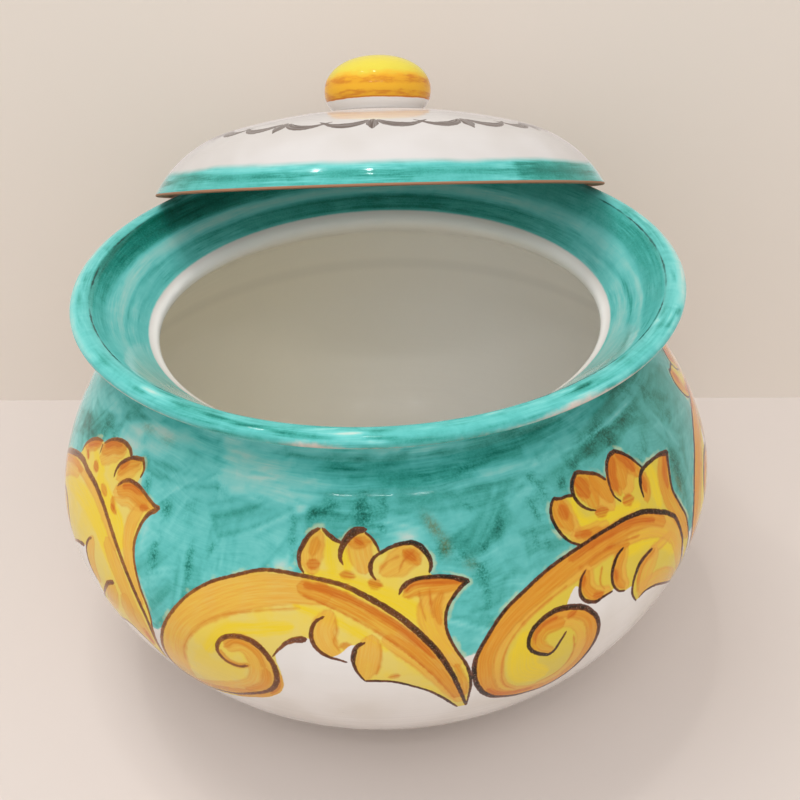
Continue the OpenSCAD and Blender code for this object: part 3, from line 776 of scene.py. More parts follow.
def against_stroke(angle, run, radius, path, half_width):
    """For each point: signed distance across the stroke, half width (falling below zero beyond
    the stroke's edges and ends), and distance along it, all in millimetres. The nearest place on
    the path is found on every one of its steps at once, and the nearest step wins."""
    scale = (radius * ARC_PER_DEGREE)[:, None]
    x = wrapped(path[None, :, 0] - angle[:, None]) * scale
    y = path[None, :, 1] - run[:, None]
    dx, dy = np.diff(x), np.diff(y)
    length = np.hypot(dx, dy) + 1e-9
    place = -(x[:, :-1] * dx + y[:, :-1] * dy) / length**2
    t = np.clip(place, 0, 1)
    near_x, near_y = x[:, :-1] + t * dx, y[:, :-1] + t * dy
    distance = np.hypot(near_x, near_y)
    best = np.argmin(distance, axis=1)[:, None]

    def pick(table):
        """The table's number at each point's nearest step."""
        return np.take_along_axis(table, best, 1)[:, 0]

    side = pick(dy * near_x - dx * near_y) / pick(length)
    before = np.where(best[:, 0] == 0, -pick(place), 0)
    after = np.where(best[:, 0] == dx.shape[1] - 1, pick(place) - 1, 0)
    beyond = np.maximum(np.maximum(before, after), 0) * pick(length)
    across = np.where(beyond > 0, side, np.sign(side) * pick(distance))
    width = np.interp(best[:, 0] + pick(t), np.arange(len(half_width)), half_width)
    travelled = np.concatenate([np.zeros((len(x), 1)), np.cumsum(length, axis=1)], axis=1)
    along = pick(travelled[:, :-1]) + pick(t) * pick(length)
    rounded = np.sqrt(np.maximum(width**2 - beyond**2, 0)) - np.maximum(beyond - width, 0)
    spare = np.maximum(0, np.abs(across) - width - EDGE_ROOM)
    return across, rounded - (2 + width) * spare, along


test = against_stroke(np.array([2.0]), np.array([5.0]), np.array([100.0]),
                      np.array([[0.0, 0.0], [0.0, 10.0]]), np.array([1.0, 1.0]))
print("At a radius of 100 mm, two degrees from a stroke are", round(abs(test[0][0]), 2), "mm")

# %% [markdown]
# Strokes that come close to each other would mix up their numbers, so they are sorted into
# layers, and each layer holds only strokes that keep clear of one another.

# %% Layers of strokes
LAYER_GAP = 3.6
STROKE_REACH = 4
HAIR_SHIFT = 37
NO_STROKE = (99.0, -5.0, 0.0)


def close_to(angle, run, path, degrees, reach):
    """Numbers of the points in the box round a path, wider by some degrees and a reach."""
    middle = np.median(path[:, 0])
    spread = np.abs(path[:, 0] - middle).max() + degrees
    return np.flatnonzero((np.abs(wrapped(angle - middle)) < spread)
                          & (run > path[:, 1].min() - reach) & (run < path[:, 1].max() + reach))


def layers_of(chosen, size):
    """Sorts strokes into layers so that two in one layer stay apart by their half widths and
    the layer gap at the radius size: each stroke goes into the first layer in which it fits."""
    layers = []
    for path, half_width in chosen:
        xy = path * (size * ARC_PER_DEGREE, 1)
        turn = 360 * size * ARC_PER_DEGREE
        for number, layer in enumerate(layers):
            apart = [np.abs((xy[:, None, 0] - other[None, :, 0] + turn / 2) % turn - turn / 2)
                     + 1j * (xy[:, None, 1] - other[None, :, 1]) for other, _ in layer]
            gaps = [np.abs(a).min() - half_width.max() - w for a, (_, w) in zip(apart, layer)]
            if min(gaps) > LAYER_GAP:
                layer.append((xy, half_width.max()))
                break
        else:
            number = len(layers)
            layers.append([(xy, half_width.max())])
        yield number, path, half_width


def stroke_layers(angle, run, radius, chosen):
    """One array of (across, half width, along) for each layer. A point keeps the stroke whose edge
    it is nearest to, and each stroke's distance along starts elsewhere, so its hairs differ."""
    made = []
    for seed, (index, path, half_width) in enumerate(layers_of(chosen, radius.mean())):
        while len(made) <= index:
            made.append(np.tile(NO_STROKE, (len(angle), 1)))
        reach = half_width.max() + STROKE_REACH
        near = close_to(angle, run, path, reach / (radius.min() * ARC_PER_DEGREE), reach)
        found = np.column_stack(against_stroke(angle[near], run[near], radius[near], path,
                                               half_width))
        found[:, 2] += HAIR_SHIFT * seed
        take = from_edge(found) < from_edge(made[index][near])
        made[index][near[take]] = found[take]
    return made


def from_edge(layer):
    """Distance beyond a stroke's edge: |across| - half width, which counts as -4 at least."""
    return np.abs(layer[:, 0]) - np.maximum(layer[:, 1], -STROKE_REACH)


def on_whole_skin(layer, places, count):
    """A layer that was measured at some places of a skin, spread over all its points."""
    whole = np.tile(NO_STROKE, (count, 1))
    whole[places] = layer
    return whole


print("Strokes of a layer stay", LAYER_GAP, "mm apart")

# %% [markdown]
# The yellow ground of a scroll has an outline and no strokes. For it each point learns its
# distance to the outline, which is positive inside.

# %% Distances to the yellow fills
FILL_REACH = 9.0
FILL_DEGREES = 6


def signed_fill(angle, run, radius, outline):
    """Signed distance to a closed outline, positive inside. Inside is where a level line towards
    the left crosses the outline an odd number of times."""
    scale = (radius * ARC_PER_DEGREE)[:, None]
    closed = np.vstack([outline, outline[:1]])
    x = wrapped(closed[None, :, 0] - angle[:, None]) * scale
    y = closed[None, :, 1] - run[:, None]
    dx, dy = np.diff(x), np.diff(y)
    t = np.clip(-(x[:, :-1] * dx + y[:, :-1] * dy) / (dx**2 + dy**2 + 1e-9), 0, 1)
    distance = np.hypot(x[:, :-1] + t * dx, y[:, :-1] + t * dy).min(axis=1)
    crosses = (y[:, :-1] > 0) != (y[:, 1:] > 0)
    at = x[:, :-1] - y[:, :-1] * dx / np.where(dy == 0, 1e-9, dy)
    inside = (crosses & (at < 0)).sum(axis=1) % 2 == 1
    return np.where(inside, distance, -distance)


def signed_fills(angle, run, radius, outlines):
    """The largest of the signed distances to all outlines."""
    best = np.full(len(angle), -FILL_REACH)
    for outline in outlines:
        near = close_to(angle, run, outline, FILL_DEGREES, FILL_REACH)
        found = signed_fill(angle[near], run[near], radius[near], outline)
        best[near] = np.maximum(best[near], found)
    return best


square = np.array([[-1.0, -1.0], [1.0, -1.0], [1.0, 1.0], [-1.0, 1.0]])
test = signed_fill(np.zeros(1), np.zeros(1), np.full(1, 1 / ARC_PER_DEGREE), square)
print("The middle of a square of side 2 is", round(float(test[0]), 2), "inside its outline")

# %% [markdown]
# Now the pot is measured. Distances along its section are counted from the belly line. The
# strokes and fills lie in the fine band only, so only its points are measured against them.

# %% Strokes and fills on the pot
section_run = run_length(pot_section)
belly_row = np.argmax(pot_section[:, 0])
past_belly = slice(len(foot) - 1, belly_row + 2)
section_run = section_run - np.interp(BELLY[1], pot_section[past_belly, 1], section_run[past_belly])
pot_run = section_run[pot_row]
pot_radius = pot_section[pot_row, 0]
pot_height = pot_section[pot_row, 1]
banded = np.flatnonzero(pot_counts[pot_row] == FINE)
band_angle, band_run = wrapped(pot_angle[banded]), pot_run[banded]
band_radius = pot_radius[banded]
paint = {}
for kind in ("line", *WASHES):
    chosen = [(path, half) for name, path, half in strokes if name == kind]
    for k, layer in enumerate(stroke_layers(band_angle, band_run, band_radius, chosen)):
        paint[f"{kind}_{k + 1}"] = on_whole_skin(layer, banded, len(pot_points))
yellow = np.full(len(pot_points), -FILL_REACH)
yellow[banded] = signed_fills(band_angle, band_run, band_radius, fills)
print("Stroke layers on the pot:", sorted(paint))

# %% [markdown]
# The turquoise is one wide wash of many overlapping passes of a broad brush. It stops in a wavy
# edge behind the scrolls, climbs over the rim and ends inside the collar, a finger's width above
# the throat. A number for its depth is stored at every point. It is built the way the painter
# built it: hundreds of passes are laid one over another, long and level near the neck, shorter
# and at a slant lower down, and each leaves a slightly darker edge where its paint dried. Then
# come broad wavy fields, pale places, and the dabs: small dark touches of a full brush round the
# petals and between the scrolls. Each of these is written (degrees round the pot, millimetres
# above the belly line, half width, half height, lean in degrees, change of depth). The olive
# stains are written in the same way, with the strength of the stain last.

# %% Places of the dabs, fields, stains and pale places
DABS = [(-38, 26, 1.8, 8, 0, 0.42), (-38, 43, 2.6, 3.5, 0, 0.42), (-30.7, 30, 1.5, 6, -5, 0.45),
        (-27, 37, 1.2, 2.2, 30, 0.35), (-33, 47, 3, 6, 15, 0.12), (-28.5, 57, 2.2, 5, -25, 0.3),
        (-44, 47, 2.5, 3.5, 0, 0.3), (-47, 54, 1.8, 2.5, -45, 0.4), (-50, 58, 2.5, 2.5, -45, 0.25),
        (-59, 53, 4, 3.5, 0, 0.35), (-63, 50, 3, 5, 0, 0.3), (-13.6, 47, 1.3, 6.5, -8, 0.5),
        (-10.5, 54.5, 2.2, 1.6, 0, 0.4), (-7.6, 57, 2.8, 2.8, 0, 0.42), (-2, 56, 3, 5, 0, 0.55),
        (-20.5, 57, 1.8, 1.4, 0, 0.3), (1.5, 58, 1.6, 4, 0, 0.35), (1, 50.5, 1.2, 1.5, 0, 0.4),
        (9, 50, 1.7, 4, -30, 0.35), (10.7, 43, 2.4, 3, 0, 0.35), (13.5, 38.5, 4, 1.6, 35, 0.35),
        (16, 33.5, 2.6, 4, 0, 0.35), (16.3, 24, 1.3, 6, 0, 0.25), (15.8, 54, 1, 1.8, -30, 0.25),
        (20.3, 46, 2, 3.5, 20, 0.25), (17.2, 40.5, 1.3, 1.5, 0, 0.4), (27, 47.5, 1.3, 4, -20, 0.4),
        (25.8, 38, 1.6, 3.5, 0, 0.25), (27.6, 36, 1, 2.5, 0, 0.3), (28, 58, 2, 2, 0, 0.4),
        (29, 52, 3.4, 3.4, 0, 0.4), (33.6, 52, 1.6, 2, 0, 0.45), (37.5, 56, 2.6, 2.2, 0, 0.5),
        (42, 58, 5, 3, 5, 0.38), (47.5, 57.5, 3.2, 4, 0, 0.75), (54, 58.5, 6, 2.2, 0, 0.5),
        (45, 62, 5, 2.0, -24, 0.4), (60, 66, 3, 5, 10, 0.3), (65, 58, 2, 6, 0, 0.3),
        (53.5, 46, 4.5, 3, -25, 0.45), (33, 62, 7, 1.2, 6, 0.2),
        (61, 31, 3, 6, 0, 0.6), (59.5, 23, 2.4, 4, 0, 0.5), (67, 44, 3, 4, -20, 0.3),
        (-67, 66, 8, 2, 10, 0.25), (17.5, 66, 5, 2.5, 0, 0.2),
        (88, 52, 7, 4, 0, 0.45), (101, 40, 2, 7, 0, 0.45), (113, 30, 1.8, 8, 0, 0.4),
        (121, 47, 3, 3, 0, 0.4), (140, 56, 6, 3, 0, 0.45), (152, 53, 3, 4, 0, 0.4),
        (166, 28, 2, 8, 0, 0.45), (171, 45, 3, 4, 0, 0.35), (-172, 55, 8, 2.5, 0, 0.4),
        (-158, 50, 3, 3, 0, 0.4), (-141, 32, 2, 8, 0, 0.45), (-136, 44, 3, 3, 0, 0.4),
        (-126, 58, 6, 3, 0, 0.4), (-112, 56, 3, 4, 0, 0.45), (-96, 48, 3, 4, 0, 0.4)]
FIELDS = [(-20, 64, 19, 8.2, 2, -0.2), (14.5, 64, 53, 9.8, 0, 0.07), (-68, 44, 24, 2.6, -22, 0.13),
          (-64, 53, 20, 2.4, -18, 0.11), (-60, 61, 17, 2.6, -8, 0.07), (-72, 36, 15, 1.8, -24, 0.1),
          (28, 61.9, 24, 1.5, 0, -0.15), (49, 61.4, 22, 0.9, -1, -0.2), (50, 65, 17, 1.7, -3, 0.12),
          (48, 57.4, 20, 2.8, 0, 0.12), (34, 68, 26, 1.6, 3, 0.05), (-33, 71.4, 30, 1.0, 0, 0.13),
          (8, 72.4, 40, 0.9, 0, 0.03), (70, 50, 14, 8, 10, 0.08), (118, 64, 60, 9, 1, 0.12),
          (100, 52, 16, 3, -10, 0.12), (170, 66, 40, 7, -1, -0.12), (-150, 63, 55, 8.5, 1, 0.12),
          (-105, 50, 22, 3, -14, 0.12), (-118, 40, 16, 2.2, -20, 0.1), (148, 43, 14, 3, 20, 0.1)]
OLIVE = [(9.4, 50, 1.7, 4.2, -30, 0.8), (11, 43, 1.7, 3.2, 0, 0.6), (14.5, 36, 2.4, 2, 35, 0.4),
         (-50.5, 62.6, 3.4, 1.3, 8, 0.5), (-44, 63.4, 3.4, 1.5, 0, 0.4), (59.4, 24, 1.4, 5, 0, 0.55),
         (152, 53, 2.6, 3, 0, 0.5), (-141, 34, 1.6, 5, 0, 0.5), (113, 30, 1.4, 5, 0, 0.4)]
PALE = [(-46.5, 64, 7, 2, 0, -0.2), (-30, 66, 24, 4, 0, -0.1), (23, 63, 13, 2.2, 3, -0.24),
        (53, 61, 14, 0.9, 0, -0.3), (5, 47.5, 4, 2.5, 0, -0.4), (-15, 37, 3, 2, 0, -0.3),
        (-65, 58, 8, 3, 0, -0.2), (-41, 33, 1.4, 9, 0, -0.15), (-53, 60, 5, 2, 0, -0.2),
        (-12.5, 55.5, 2.6, 1.2, 0, -0.4), (100, 63, 14, 2, 0, -0.2), (160, 64, 18, 2, 0, -0.2),
        (-130, 65, 20, 2, 0, -0.2)]
print("Touches on the belly:", len(DABS), "dark,", len(PALE), "pale and", len(OLIVE), "olive, and",
      len(FIELDS), "fields")

# %% [markdown]
# A pass of the broad brush moves the depth towards the depth of that brushful, which is the base
# depth and a little more or less. Ten bristles leave their own streaks in it.

# %% Passes of the broad brush
PASSES = 330
PASS_SEED = 11
PASS_LOW = 8
PASS_HIGH = 97
PASS_BOX = (26, 36)
SLANT_BELOW = 52
SLANT_FADE = 14
BRISTLES = 10
BOW = 0.006
TAKE_UP = 0.6
BASE_DEPTH = 0.37


def slanted(angle, run, radius, at, up, lean):
    """Distances from a place on the skin, across and along a line that leans from upright."""
    x = wrapped(angle - at) * ARC_PER_DEGREE * radius
    y = run - up
    turn = np.radians(lean)
    return x * np.cos(turn) - y * np.sin(turn), x * np.sin(turn) + y * np.cos(turn)


def base_depth(angle, run):
    """Deeper to the right, most of all high up, partly as painted shade of that side, and paler again
    near the neck.
    """
    # Painted shade in part: the wash deepens towards the right side.
    right = np.clip((angle + 12) / 60, 0, 1)
    level = np.clip((run - 40) / 25, 0, 1)
    near_neck = np.clip((run - 62) / 8, 0, 1)
    return BASE_DEPTH + (0.05 + 0.1 * level) * right - 0.1 * near_neck


def lay_passes(angle, run, radius, depth):
    """Lays the passes over the depth one after another. Inside a pass the depth moves most of the
    way to the depth of that brushful; within a millimetre of its edge it gets a little darker.
    A pass is bowed, is wet at its start and runs dry, and is cut off at a box round its middle."""
    draw = np.random.default_rng(PASS_SEED)
    for at, up in zip(draw.uniform(-180, 180, PASSES), draw.uniform(PASS_LOW, PASS_HIGH, PASSES)):
        level = np.clip((up - SLANT_BELOW) / SLANT_FADE, 0, 1)
        lean = draw.normal(0, 4) * level + draw.normal(25, 40) * (1 - level)
        long, tall = draw.uniform(12, 17) + 14 * level, draw.uniform(3.2, 6.5)
        full, wet = draw.normal(0.03, 0.13), draw.uniform(0.02, 0.1)
        bristles = draw.normal(0, 0.09, BRISTLES)
        near = np.flatnonzero((np.abs(wrapped(angle - at)) < PASS_BOX[0])
                              & (np.abs(run - up) < PASS_BOX[1]))
        across, along = slanted(angle[near], run[near], radius[near], at, up, 90 - lean)
        bowed = across + BOW * along**2 * np.sign(full)
        inside = np.minimum(tall - np.abs(bowed), long - np.abs(along))
        cover = np.clip(inside / 1.6 + 0.5, 0, 1) * np.clip((long - along) / long, 0, 1)
        target = base_depth(angle[near], run[near]) + full
        target += np.interp(bowed, np.linspace(-tall, tall, BRISTLES), bristles)
        dried_edge = wet * cover * np.exp(-(inside / 1.1) ** 2)
        depth[near] += TAKE_UP * cover * (target - depth[near]) + dried_edge
    return depth


print("The broad brush makes", PASSES, "passes")

# %% [markdown]
# A field has an even change of depth inside a wavy outline, and a darker rim. A dab is darkest in
# its middle and fades out to all sides.

# %% Fields and touches
def touch(angle, run, radius, places, crisp=2):
    """The sum of dabs, each exp(-|x/a|^2 - |y/b|^crisp) along its own lean: 2 is soft and 6 has
    clear sides."""
    total = np.zeros(len(angle))
    for at, up, wide, tall, lean, amount in places:
        across, along = slanted(angle, run, radius, at, up, lean)
        total += amount * np.exp(-(across / wide) ** 2 - np.abs(along / tall) ** crisp)
    return total


def lay_fields(angle, run, radius, depth, fields):
    """Broad fields with a wavy outline: each adds its change inside, and 0.07 on its rim."""
    for at, up, long, tall, lean, change in fields:
        x, y = slanted(angle, run, radius, at, up, lean)
        x = x + 2.2 * np.sin(0.42 * y + at)
        y = y + 0.9 * np.sin(0.16 * x + up) + 0.4 * np.sin(0.5 * x)
        inside = np.minimum(tall - np.abs(y), long - np.abs(x))
        cover = np.clip(inside / 1.4 + 0.5, 0, 1) * np.clip((long + tall - x) / long, 0, 1)
        depth = depth + cover * (change + 0.07 * np.exp(-(inside / 1.2) ** 2))
    return depth


test = touch(np.zeros(1), np.zeros(1), np.full(1, 100.0), [(0, 2, 1, 2, 0, 1.0)])
print("At its own half height from its middle, a dab is down to", round(float(test[0]), 2))

# %% [markdown]
# On the lip and inside the collar the wheel turned under the brush, so the touches are long and
# level: rings in the collar, which at its back are partly painted shadow of the lid leaning there,
# dabs on the lip, and under the lip a line where the glaze is thin and the clay shows pink, which
# is partly a painted highlight. Their second number is in millimetres past the rim's widest line.

# %% Places of the rings and of the touches on the lip
# The dark rings at the back of the collar and near -112 degrees are partly painted shadow of the lid.
COLLAR_RINGS_AND_LID_SHADOW = [(-112, 13.2, 80, 5.6, 2.5, 0.42), (-128, 12, 28, 4.5, 0, 0.1), (-108, 9.8, 50, 0.9, 0, 0.12),
         (180, 14, 95, 6.5, 0, 0.3), (180, 29.8, 100, 4.3, 0, 0.36), (180, 28, 90, 0.6, 0, 0.12),
         (180, 32.4, 80, 0.6, 0, 0.1), (-92, 25.2, 55, 0.9, 2, 0.16), (-95, 31, 42, 1.9, 0, 0.07),
         (-78, 21.5, 40, 3, 0, -0.06), (95, 13, 78, 5.8, 0, 0.22), (61, 14.5, 14, 1.0, -14, -0.24),
         (84, 20.4, 26, 1.1, -4, -0.17), (60, 18.5, 14, 1.3, -15, 0.22), (84, 25, 28, 1.2, -4, 0.22),
         (72, 29.5, 36, 3, 0, -0.1), (-125, 22.3, 75, 2.2, 1.5, -0.14), (165, 22.6, 70, 2, 0, -0.08)]
ON_LIP = [(-54, 3.5, 5, 1.6, 0, 0.22), (-41, 3.5, 3.5, 1.0, 0, 0.2), (-78, 5, 4, 0.9, 0, 0.2),
          (-25, 4.6, 7, 0.9, 0, 0.24), (-13, 3.2, 5, 1.4, 0, 0.2), (15, -1, 10, 1.3, 0, 0.18),
          (38, 3.4, 12, 0.8, 0, 0.2), (47, -1, 7, 1.5, 0, 0.2), (8, 1, 9, 1.0, 0, 0.16),
          (31, 0.5, 5, 1.1, 0, -0.28), (41, 1.4, 9, 1.2, 0, -0.3), (-66, 1.2, 16, 1.5, 0, -0.26),
          (-96, 2, 46, 1.9, 0, -0.34), (88, 2.2, 46, 2.6, 0, -0.36), (-4, -4, 18, 2, 0, -0.2),
          (62, 5.5, 10, 1.4, 0, 0.14), (104, 5.5, 28, 1.5, 0, 0.12), (172, 2, 40, 1.6, 0, -0.2)]
# The pink line under the lip follows where the lip's highlight falls, so it is partly a painted
# highlight.
UNDER_LIP_AND_HIGHLIGHT = [(0, -2.1, 34, 1.1, 0, 0.75), (-42, -1.6, 36, 1.2, 1, 0.95), (44, -1.5, 40, 1.5, 1, 1.0),
             (-84, -0.2, 30, 1.1, 2, 0.75), (86, 0.0, 34, 1.2, -2, 0.8), (130, 1.4, 40, 1.1, -1, 0.7),
             (-130, 1.4, 40, 1.1, 1, 0.7), (180, 2.3, 50, 1.0, 0, 0.6), (-9, -0.4, 10, 1.5, 3, 0.6),
             (34, 1.0, 8, 1.2, 0, 0.5)]
print("Rings in the collar:", len(COLLAR_RINGS_AND_LID_SHADOW), "and touches on the lip:", len(ON_LIP))

# %% [markdown]
# Outside, inside and lip are each worked out for every point, and the distance past the rim's
# widest line says how much of each a point gets.

# %% The turquoise wash
COLLAR_END = RIM_RUN + 34.5
UNDER_RIM = RIM_RUN - 8
LIP_TOUCHES = 190
LIP_SEED = 5
LIP_BASE = 0.43
RING_BASE = 0.3


def lip_depth(angle, inward, radius):
    """The rolled lip: an aqua ground with many short touches of a nearly dry brush."""
    draw = np.random.default_rng(LIP_SEED)
    few = np.column_stack([draw.uniform(-180, 180, LIP_TOUCHES), draw.uniform(-5, 8.5, LIP_TOUCHES),
                           draw.uniform(2.5, 6, LIP_TOUCHES), draw.uniform(0.5, 1.1, LIP_TOUCHES),
                           draw.normal(0, 4, LIP_TOUCHES), draw.normal(0.0, 0.22, LIP_TOUCHES)])
    return LIP_BASE + touch(angle, inward, radius, few) + touch(angle, inward, radius, ON_LIP)


def wash_depth(angle, run, radius):
    """0 for the palest turquoise and 1 for the darkest: passes, fields and pale places outside,
    touches on the lip, and turned rings inside the collar, which at its back are partly painted
    shadow of the lid. The lip takes over in 2 mm from 7 mm before the rim's widest line, and the
    collar in 1 mm from 7.6 mm past it."""
    depth = lay_passes(angle, run, radius, base_depth(angle, run))
    depth = lay_fields(angle, run, radius, depth, FIELDS) + touch(angle, run, radius, PALE)
    inward = run - RIM_RUN
    on_lip = np.clip((inward + 7) / 2, 0, 1)
    depth = depth * (1 - on_lip) + lip_depth(angle, inward, radius) * on_lip
    inside = np.clip(inward - 7.6, 0, 1)
    rings = RING_BASE + touch(angle, inward, radius, COLLAR_RINGS_AND_LID_SHADOW, crisp=6)
    return depth * (1 - inside) + rings * inside


border_start = BORDER[0][1]
edge_at = np.append(ground_edge[:, 0] - border_start, 360)
edge_run = np.append(ground_edge[:, 1], ground_edge[0, 1])
order = np.argsort(edge_at)
wash_edge = np.interp((pot_angle - border_start) % 360, edge_at[order], edge_run[order])
turquoise = np.minimum(pot_run - wash_edge, COLLAR_END - pot_run)
depth = wash_depth(wrapped(pot_angle), pot_run, pot_radius)
bare = np.where(pot_row < len(foot), 0.7 - pot_height, -5.0)
paint["ground"] = np.column_stack([turquoise, depth, bare])
dabs = np.where(pot_run < UNDER_RIM, touch(pot_angle, pot_run, pot_radius, DABS), 0)
paint["yellow"] = np.column_stack([yellow, pot_run - RIM_RUN, dabs])
# The pink of thin glaze under the lip, partly a painted highlight, is stored beside the olive stains.
pink = touch(pot_angle, pot_run - RIM_RUN, pot_radius, UNDER_LIP_AND_HIGHLIGHT)
olive = np.where(pot_run < UNDER_RIM, touch(pot_angle, pot_run, pot_radius, OLIVE), 0)
paint["stain"] = np.column_stack([olive, pink, 0 * olive])
print("Turquoise covers", round(100 * float((turquoise > 0).mean())), "% of the pot's points")

# %% [markdown]
# The skins become Blender meshes. Every number measured above goes on the mesh as a named
# attribute, three numbers to a point, where the materials can read it. One attribute, "turned",
# holds the cosine and sine of the angle and the distance along the section: noise read from it
# runs round the wheel without a seam.

# %% Meshes
def turned_attribute(angle, run):
    """(cos a, sin a, distance along the section / 100 mm)."""
    a = np.radians(angle)
    return np.column_stack([np.cos(a), np.sin(a), run / 100])


def make_mesh(name, points, triangles, attributes):
    """A mesh object at the origin: points in millimetres become metres."""
    mesh = bpy.data.meshes.new(name)
    mesh.vertices.add(len(points))
    mesh.vertices.foreach_set("co", (points * MM).astype(np.float32).ravel())
    mesh.loops.add(3 * len(triangles))
    mesh.loops.foreach_set("vertex_index", triangles.astype(np.int32).ravel())
    mesh.polygons.add(len(triangles))
    mesh.polygons.foreach_set("loop_start", np.arange(0, 3 * len(triangles), 3, dtype=np.int32))
    mesh.update(calc_edges=True)
    mesh.validate()
    mesh.polygons.foreach_set("use_smooth", np.ones(len(triangles), bool))
    mesh.set_sharp_from_angle(angle=np.radians(50))
    for label, values in attributes.items():
        stored = mesh.attributes.new(label, "FLOAT_VECTOR", "POINT")
        stored.data.foreach_set("vector", values.astype(np.float32).ravel())
    return new_object(name, mesh)


paint["turned"] = turned_attribute(pot_angle, pot_run)
pot = make_mesh("thrown_pot", pot_points, pot_triangles, paint)
print("Pot mesh:", len(pot.data.polygons), "triangles with", len(pot.data.attributes), "attributes")

# %% [markdown]
# ## The lid and its knob
# The lid is a shallow dome: a wide crown arc that runs into a tighter shoulder arc, down to a
# level edge that was wiped free of glaze, so that it wouldn't stick in the kiln. The knob is a
# flattened ball with a hollow inside, and a small vent in the lid let its steam out. Both are
# turned upright, then moved to where the lid is parked: leaning back on the rim.

# %% The lid's section
LID_RADIUS = 96.5
SHOULDER_CENTRE = np.array([50.527, -24.3])
CROWN_CENTRE = np.array([0, -208.619])
CROWN = 243.119
SHOULDER = 52.0
TURN = np.degrees(np.arctan2(SHOULDER_CENTRE[0], SHOULDER_CENTRE[1] - CROWN_CENTRE[1]))
LID_WALL = 5.5
BEVEL = 0.9
BEVEL_RISE = 0.22
PAD = (20.0, 33.676)
PAD_MIDDLE = 11
EDGE_MIDDLE = 93.3
VENT = 2.6
inner_edge = SHOULDER_CENTRE[0] + np.sqrt((SHOULDER - LID_WALL) ** 2 - SHOULDER_CENTRE[1] ** 2)


def dome(inset, start, end, crown_count, shoulder_count):
    """The crown's arc from its start angle to where it meets the shoulder's arc, then that arc to
    its end angle, both moved in by inset."""
    crown = arc(CROWN_CENTRE, CROWN - inset, start, TURN, crown_count)
    side = arc(SHOULDER_CENTRE, SHOULDER - inset, TURN, end, shoulder_count)
    return np.vstack([crown, side[1:]])


def angle_to(radius):
    """Angle of the shoulder's arc where it comes down to the bevel at a radius."""
    return np.degrees(np.arctan2(radius - SHOULDER_CENTRE[0], -SHOULDER_CENTRE[1] + BEVEL))


lid_outside = dome(0, np.degrees(np.arcsin(PAD[0] / CROWN)), angle_to(LID_RADIUS), 40, 44)
lid_inside = dome(LID_WALL, np.degrees(np.arcsin(VENT / (CROWN - LID_WALL))),
                  angle_to(inner_edge), 24, 26)[::-1]
lid_section = np.vstack([[(VENT, PAD[1]), (PAD_MIDDLE, PAD[1])], lid_outside,
                         [(LID_RADIUS - BEVEL / 2, BEVEL_RISE), (LID_RADIUS - BEVEL, 0)],
                         [(EDGE_MIDDLE, 0)],
                         [(inner_edge + BEVEL, 0), (inner_edge + BEVEL / 2, BEVEL_RISE)],
                         lid_inside])[::-1]
print("The lid's section has", len(lid_section), "rows; its inside edge is at",
      round(float(inner_edge), 2), "mm")

# %% [markdown]
# The knob's section starts at the top of its hollow, goes down to the foot that is stuck to the
# lid, out to the waist, and over the top in a quarter of a superellipse.

# %% The knob's section
KNOB_RADIUS = 22.9
KNOB_HEIGHT = 23.6
KNOB_WAIST = 8.6
KNOB_FOOT = 19.6
KNOB_HOLLOW = 11.9
FULLNESS = 2.15


def quarter(a, b, fullness, count):
    """Quarter of a superellipse from its upright end a to its level end b: the two cosines of an
    ellipse raised to the power 2 / fullness."""
    u = np.radians(np.linspace(0, 90, count + 1))
    return np.column_stack([b[0] + (a[0] - b[0]) * np.cos(u) ** (2 / fullness),
                            a[1] + (b[1] - a[1]) * np.sin(u) ** (2 / fullness)])


knob_dome = respace(quarter((KNOB_RADIUS, KNOB_WAIST), (0, KNOB_HEIGHT), FULLNESS, 200), 46)
knob_side = bezier((KNOB_FOOT + 0.2, 1.2), (KNOB_FOOT + 2.2, 3.2), (KNOB_RADIUS, KNOB_WAIST - 3),
                   (KNOB_RADIUS, KNOB_WAIST), 16)
knob_hollow = quarter((KNOB_HOLLOW, 2), (0, KNOB_HEIGHT - KNOB_WAIST - 4), 2, 14)[::-1]
knob_dome[-1, 0] = 0
knob_hollow[0, 0] = 0
knob_section = np.vstack([knob_hollow, [(KNOB_HOLLOW, 0), (KNOB_FOOT - 0.5, 0), (KNOB_FOOT, 0.5)],
                          knob_side, knob_dome[1:]])
print("The knob's section has", len(knob_section), "rows")

# %% [markdown]
# The lid leans: it is turned about the X axis by the park angle and set behind the pot's own
# axis. The distances along its section are counted from its level edge.

# %% The lid's skin
PARK_BACK = 72.0
PARK_HEIGHT = 163.033
PARK_TILT = np.radians(24.3)
LID_ROUND = 360


def park(points, lift=0.0):
    """Lifts points, tips them back about the X axis by the park angle, and moves them behind."""
    x, y, z = (points + (0, 0, lift)).T
    return np.column_stack([x, PARK_BACK + y * np.cos(PARK_TILT) + z * np.sin(PARK_TILT),
                            PARK_HEIGHT - y * np.sin(PARK_TILT) + z * np.cos(PARK_TILT)])


lid_points, lid_triangles, lid_angle, lid_row = turn_on_wheel(
    lid_section, np.full(len(lid_section), LID_ROUND), ring=True)
edge_row = np.flatnonzero((lid_section[:, 1] == 0) & (lid_section[:, 0] > EDGE_MIDDLE))[0]
lid_runs = run_length(lid_section)
lid_runs -= lid_runs[edge_row]
lid_run = lid_runs[lid_row]
lid_radius = lid_section[lid_row, 0]
print("Lid:", len(lid_triangles), "triangles,",
      round(enclosed(lid_points, lid_triangles) / 1000), "cm3 of clay")

# %% [markdown]
# A ring of brown sprigs goes round the top of the lid. A sprig is three dabs of a full brush that
# fan out from one place and curl away from each other.

# %% The sprigs on the lid
SPRIG_RADIUS = 64
SPRIG_MIDDLE = 66
SPRIG_LENGTH = 21
SPRIG_EVERY = 30
TOP_RUN = 20
TOP_RADIUS = 30
SIDE_ROWS = 30
DAB_WIDTH = 2.3
DAB_LEANS = ((-30, 0.95), (0, 0.6), (30, 0.95))


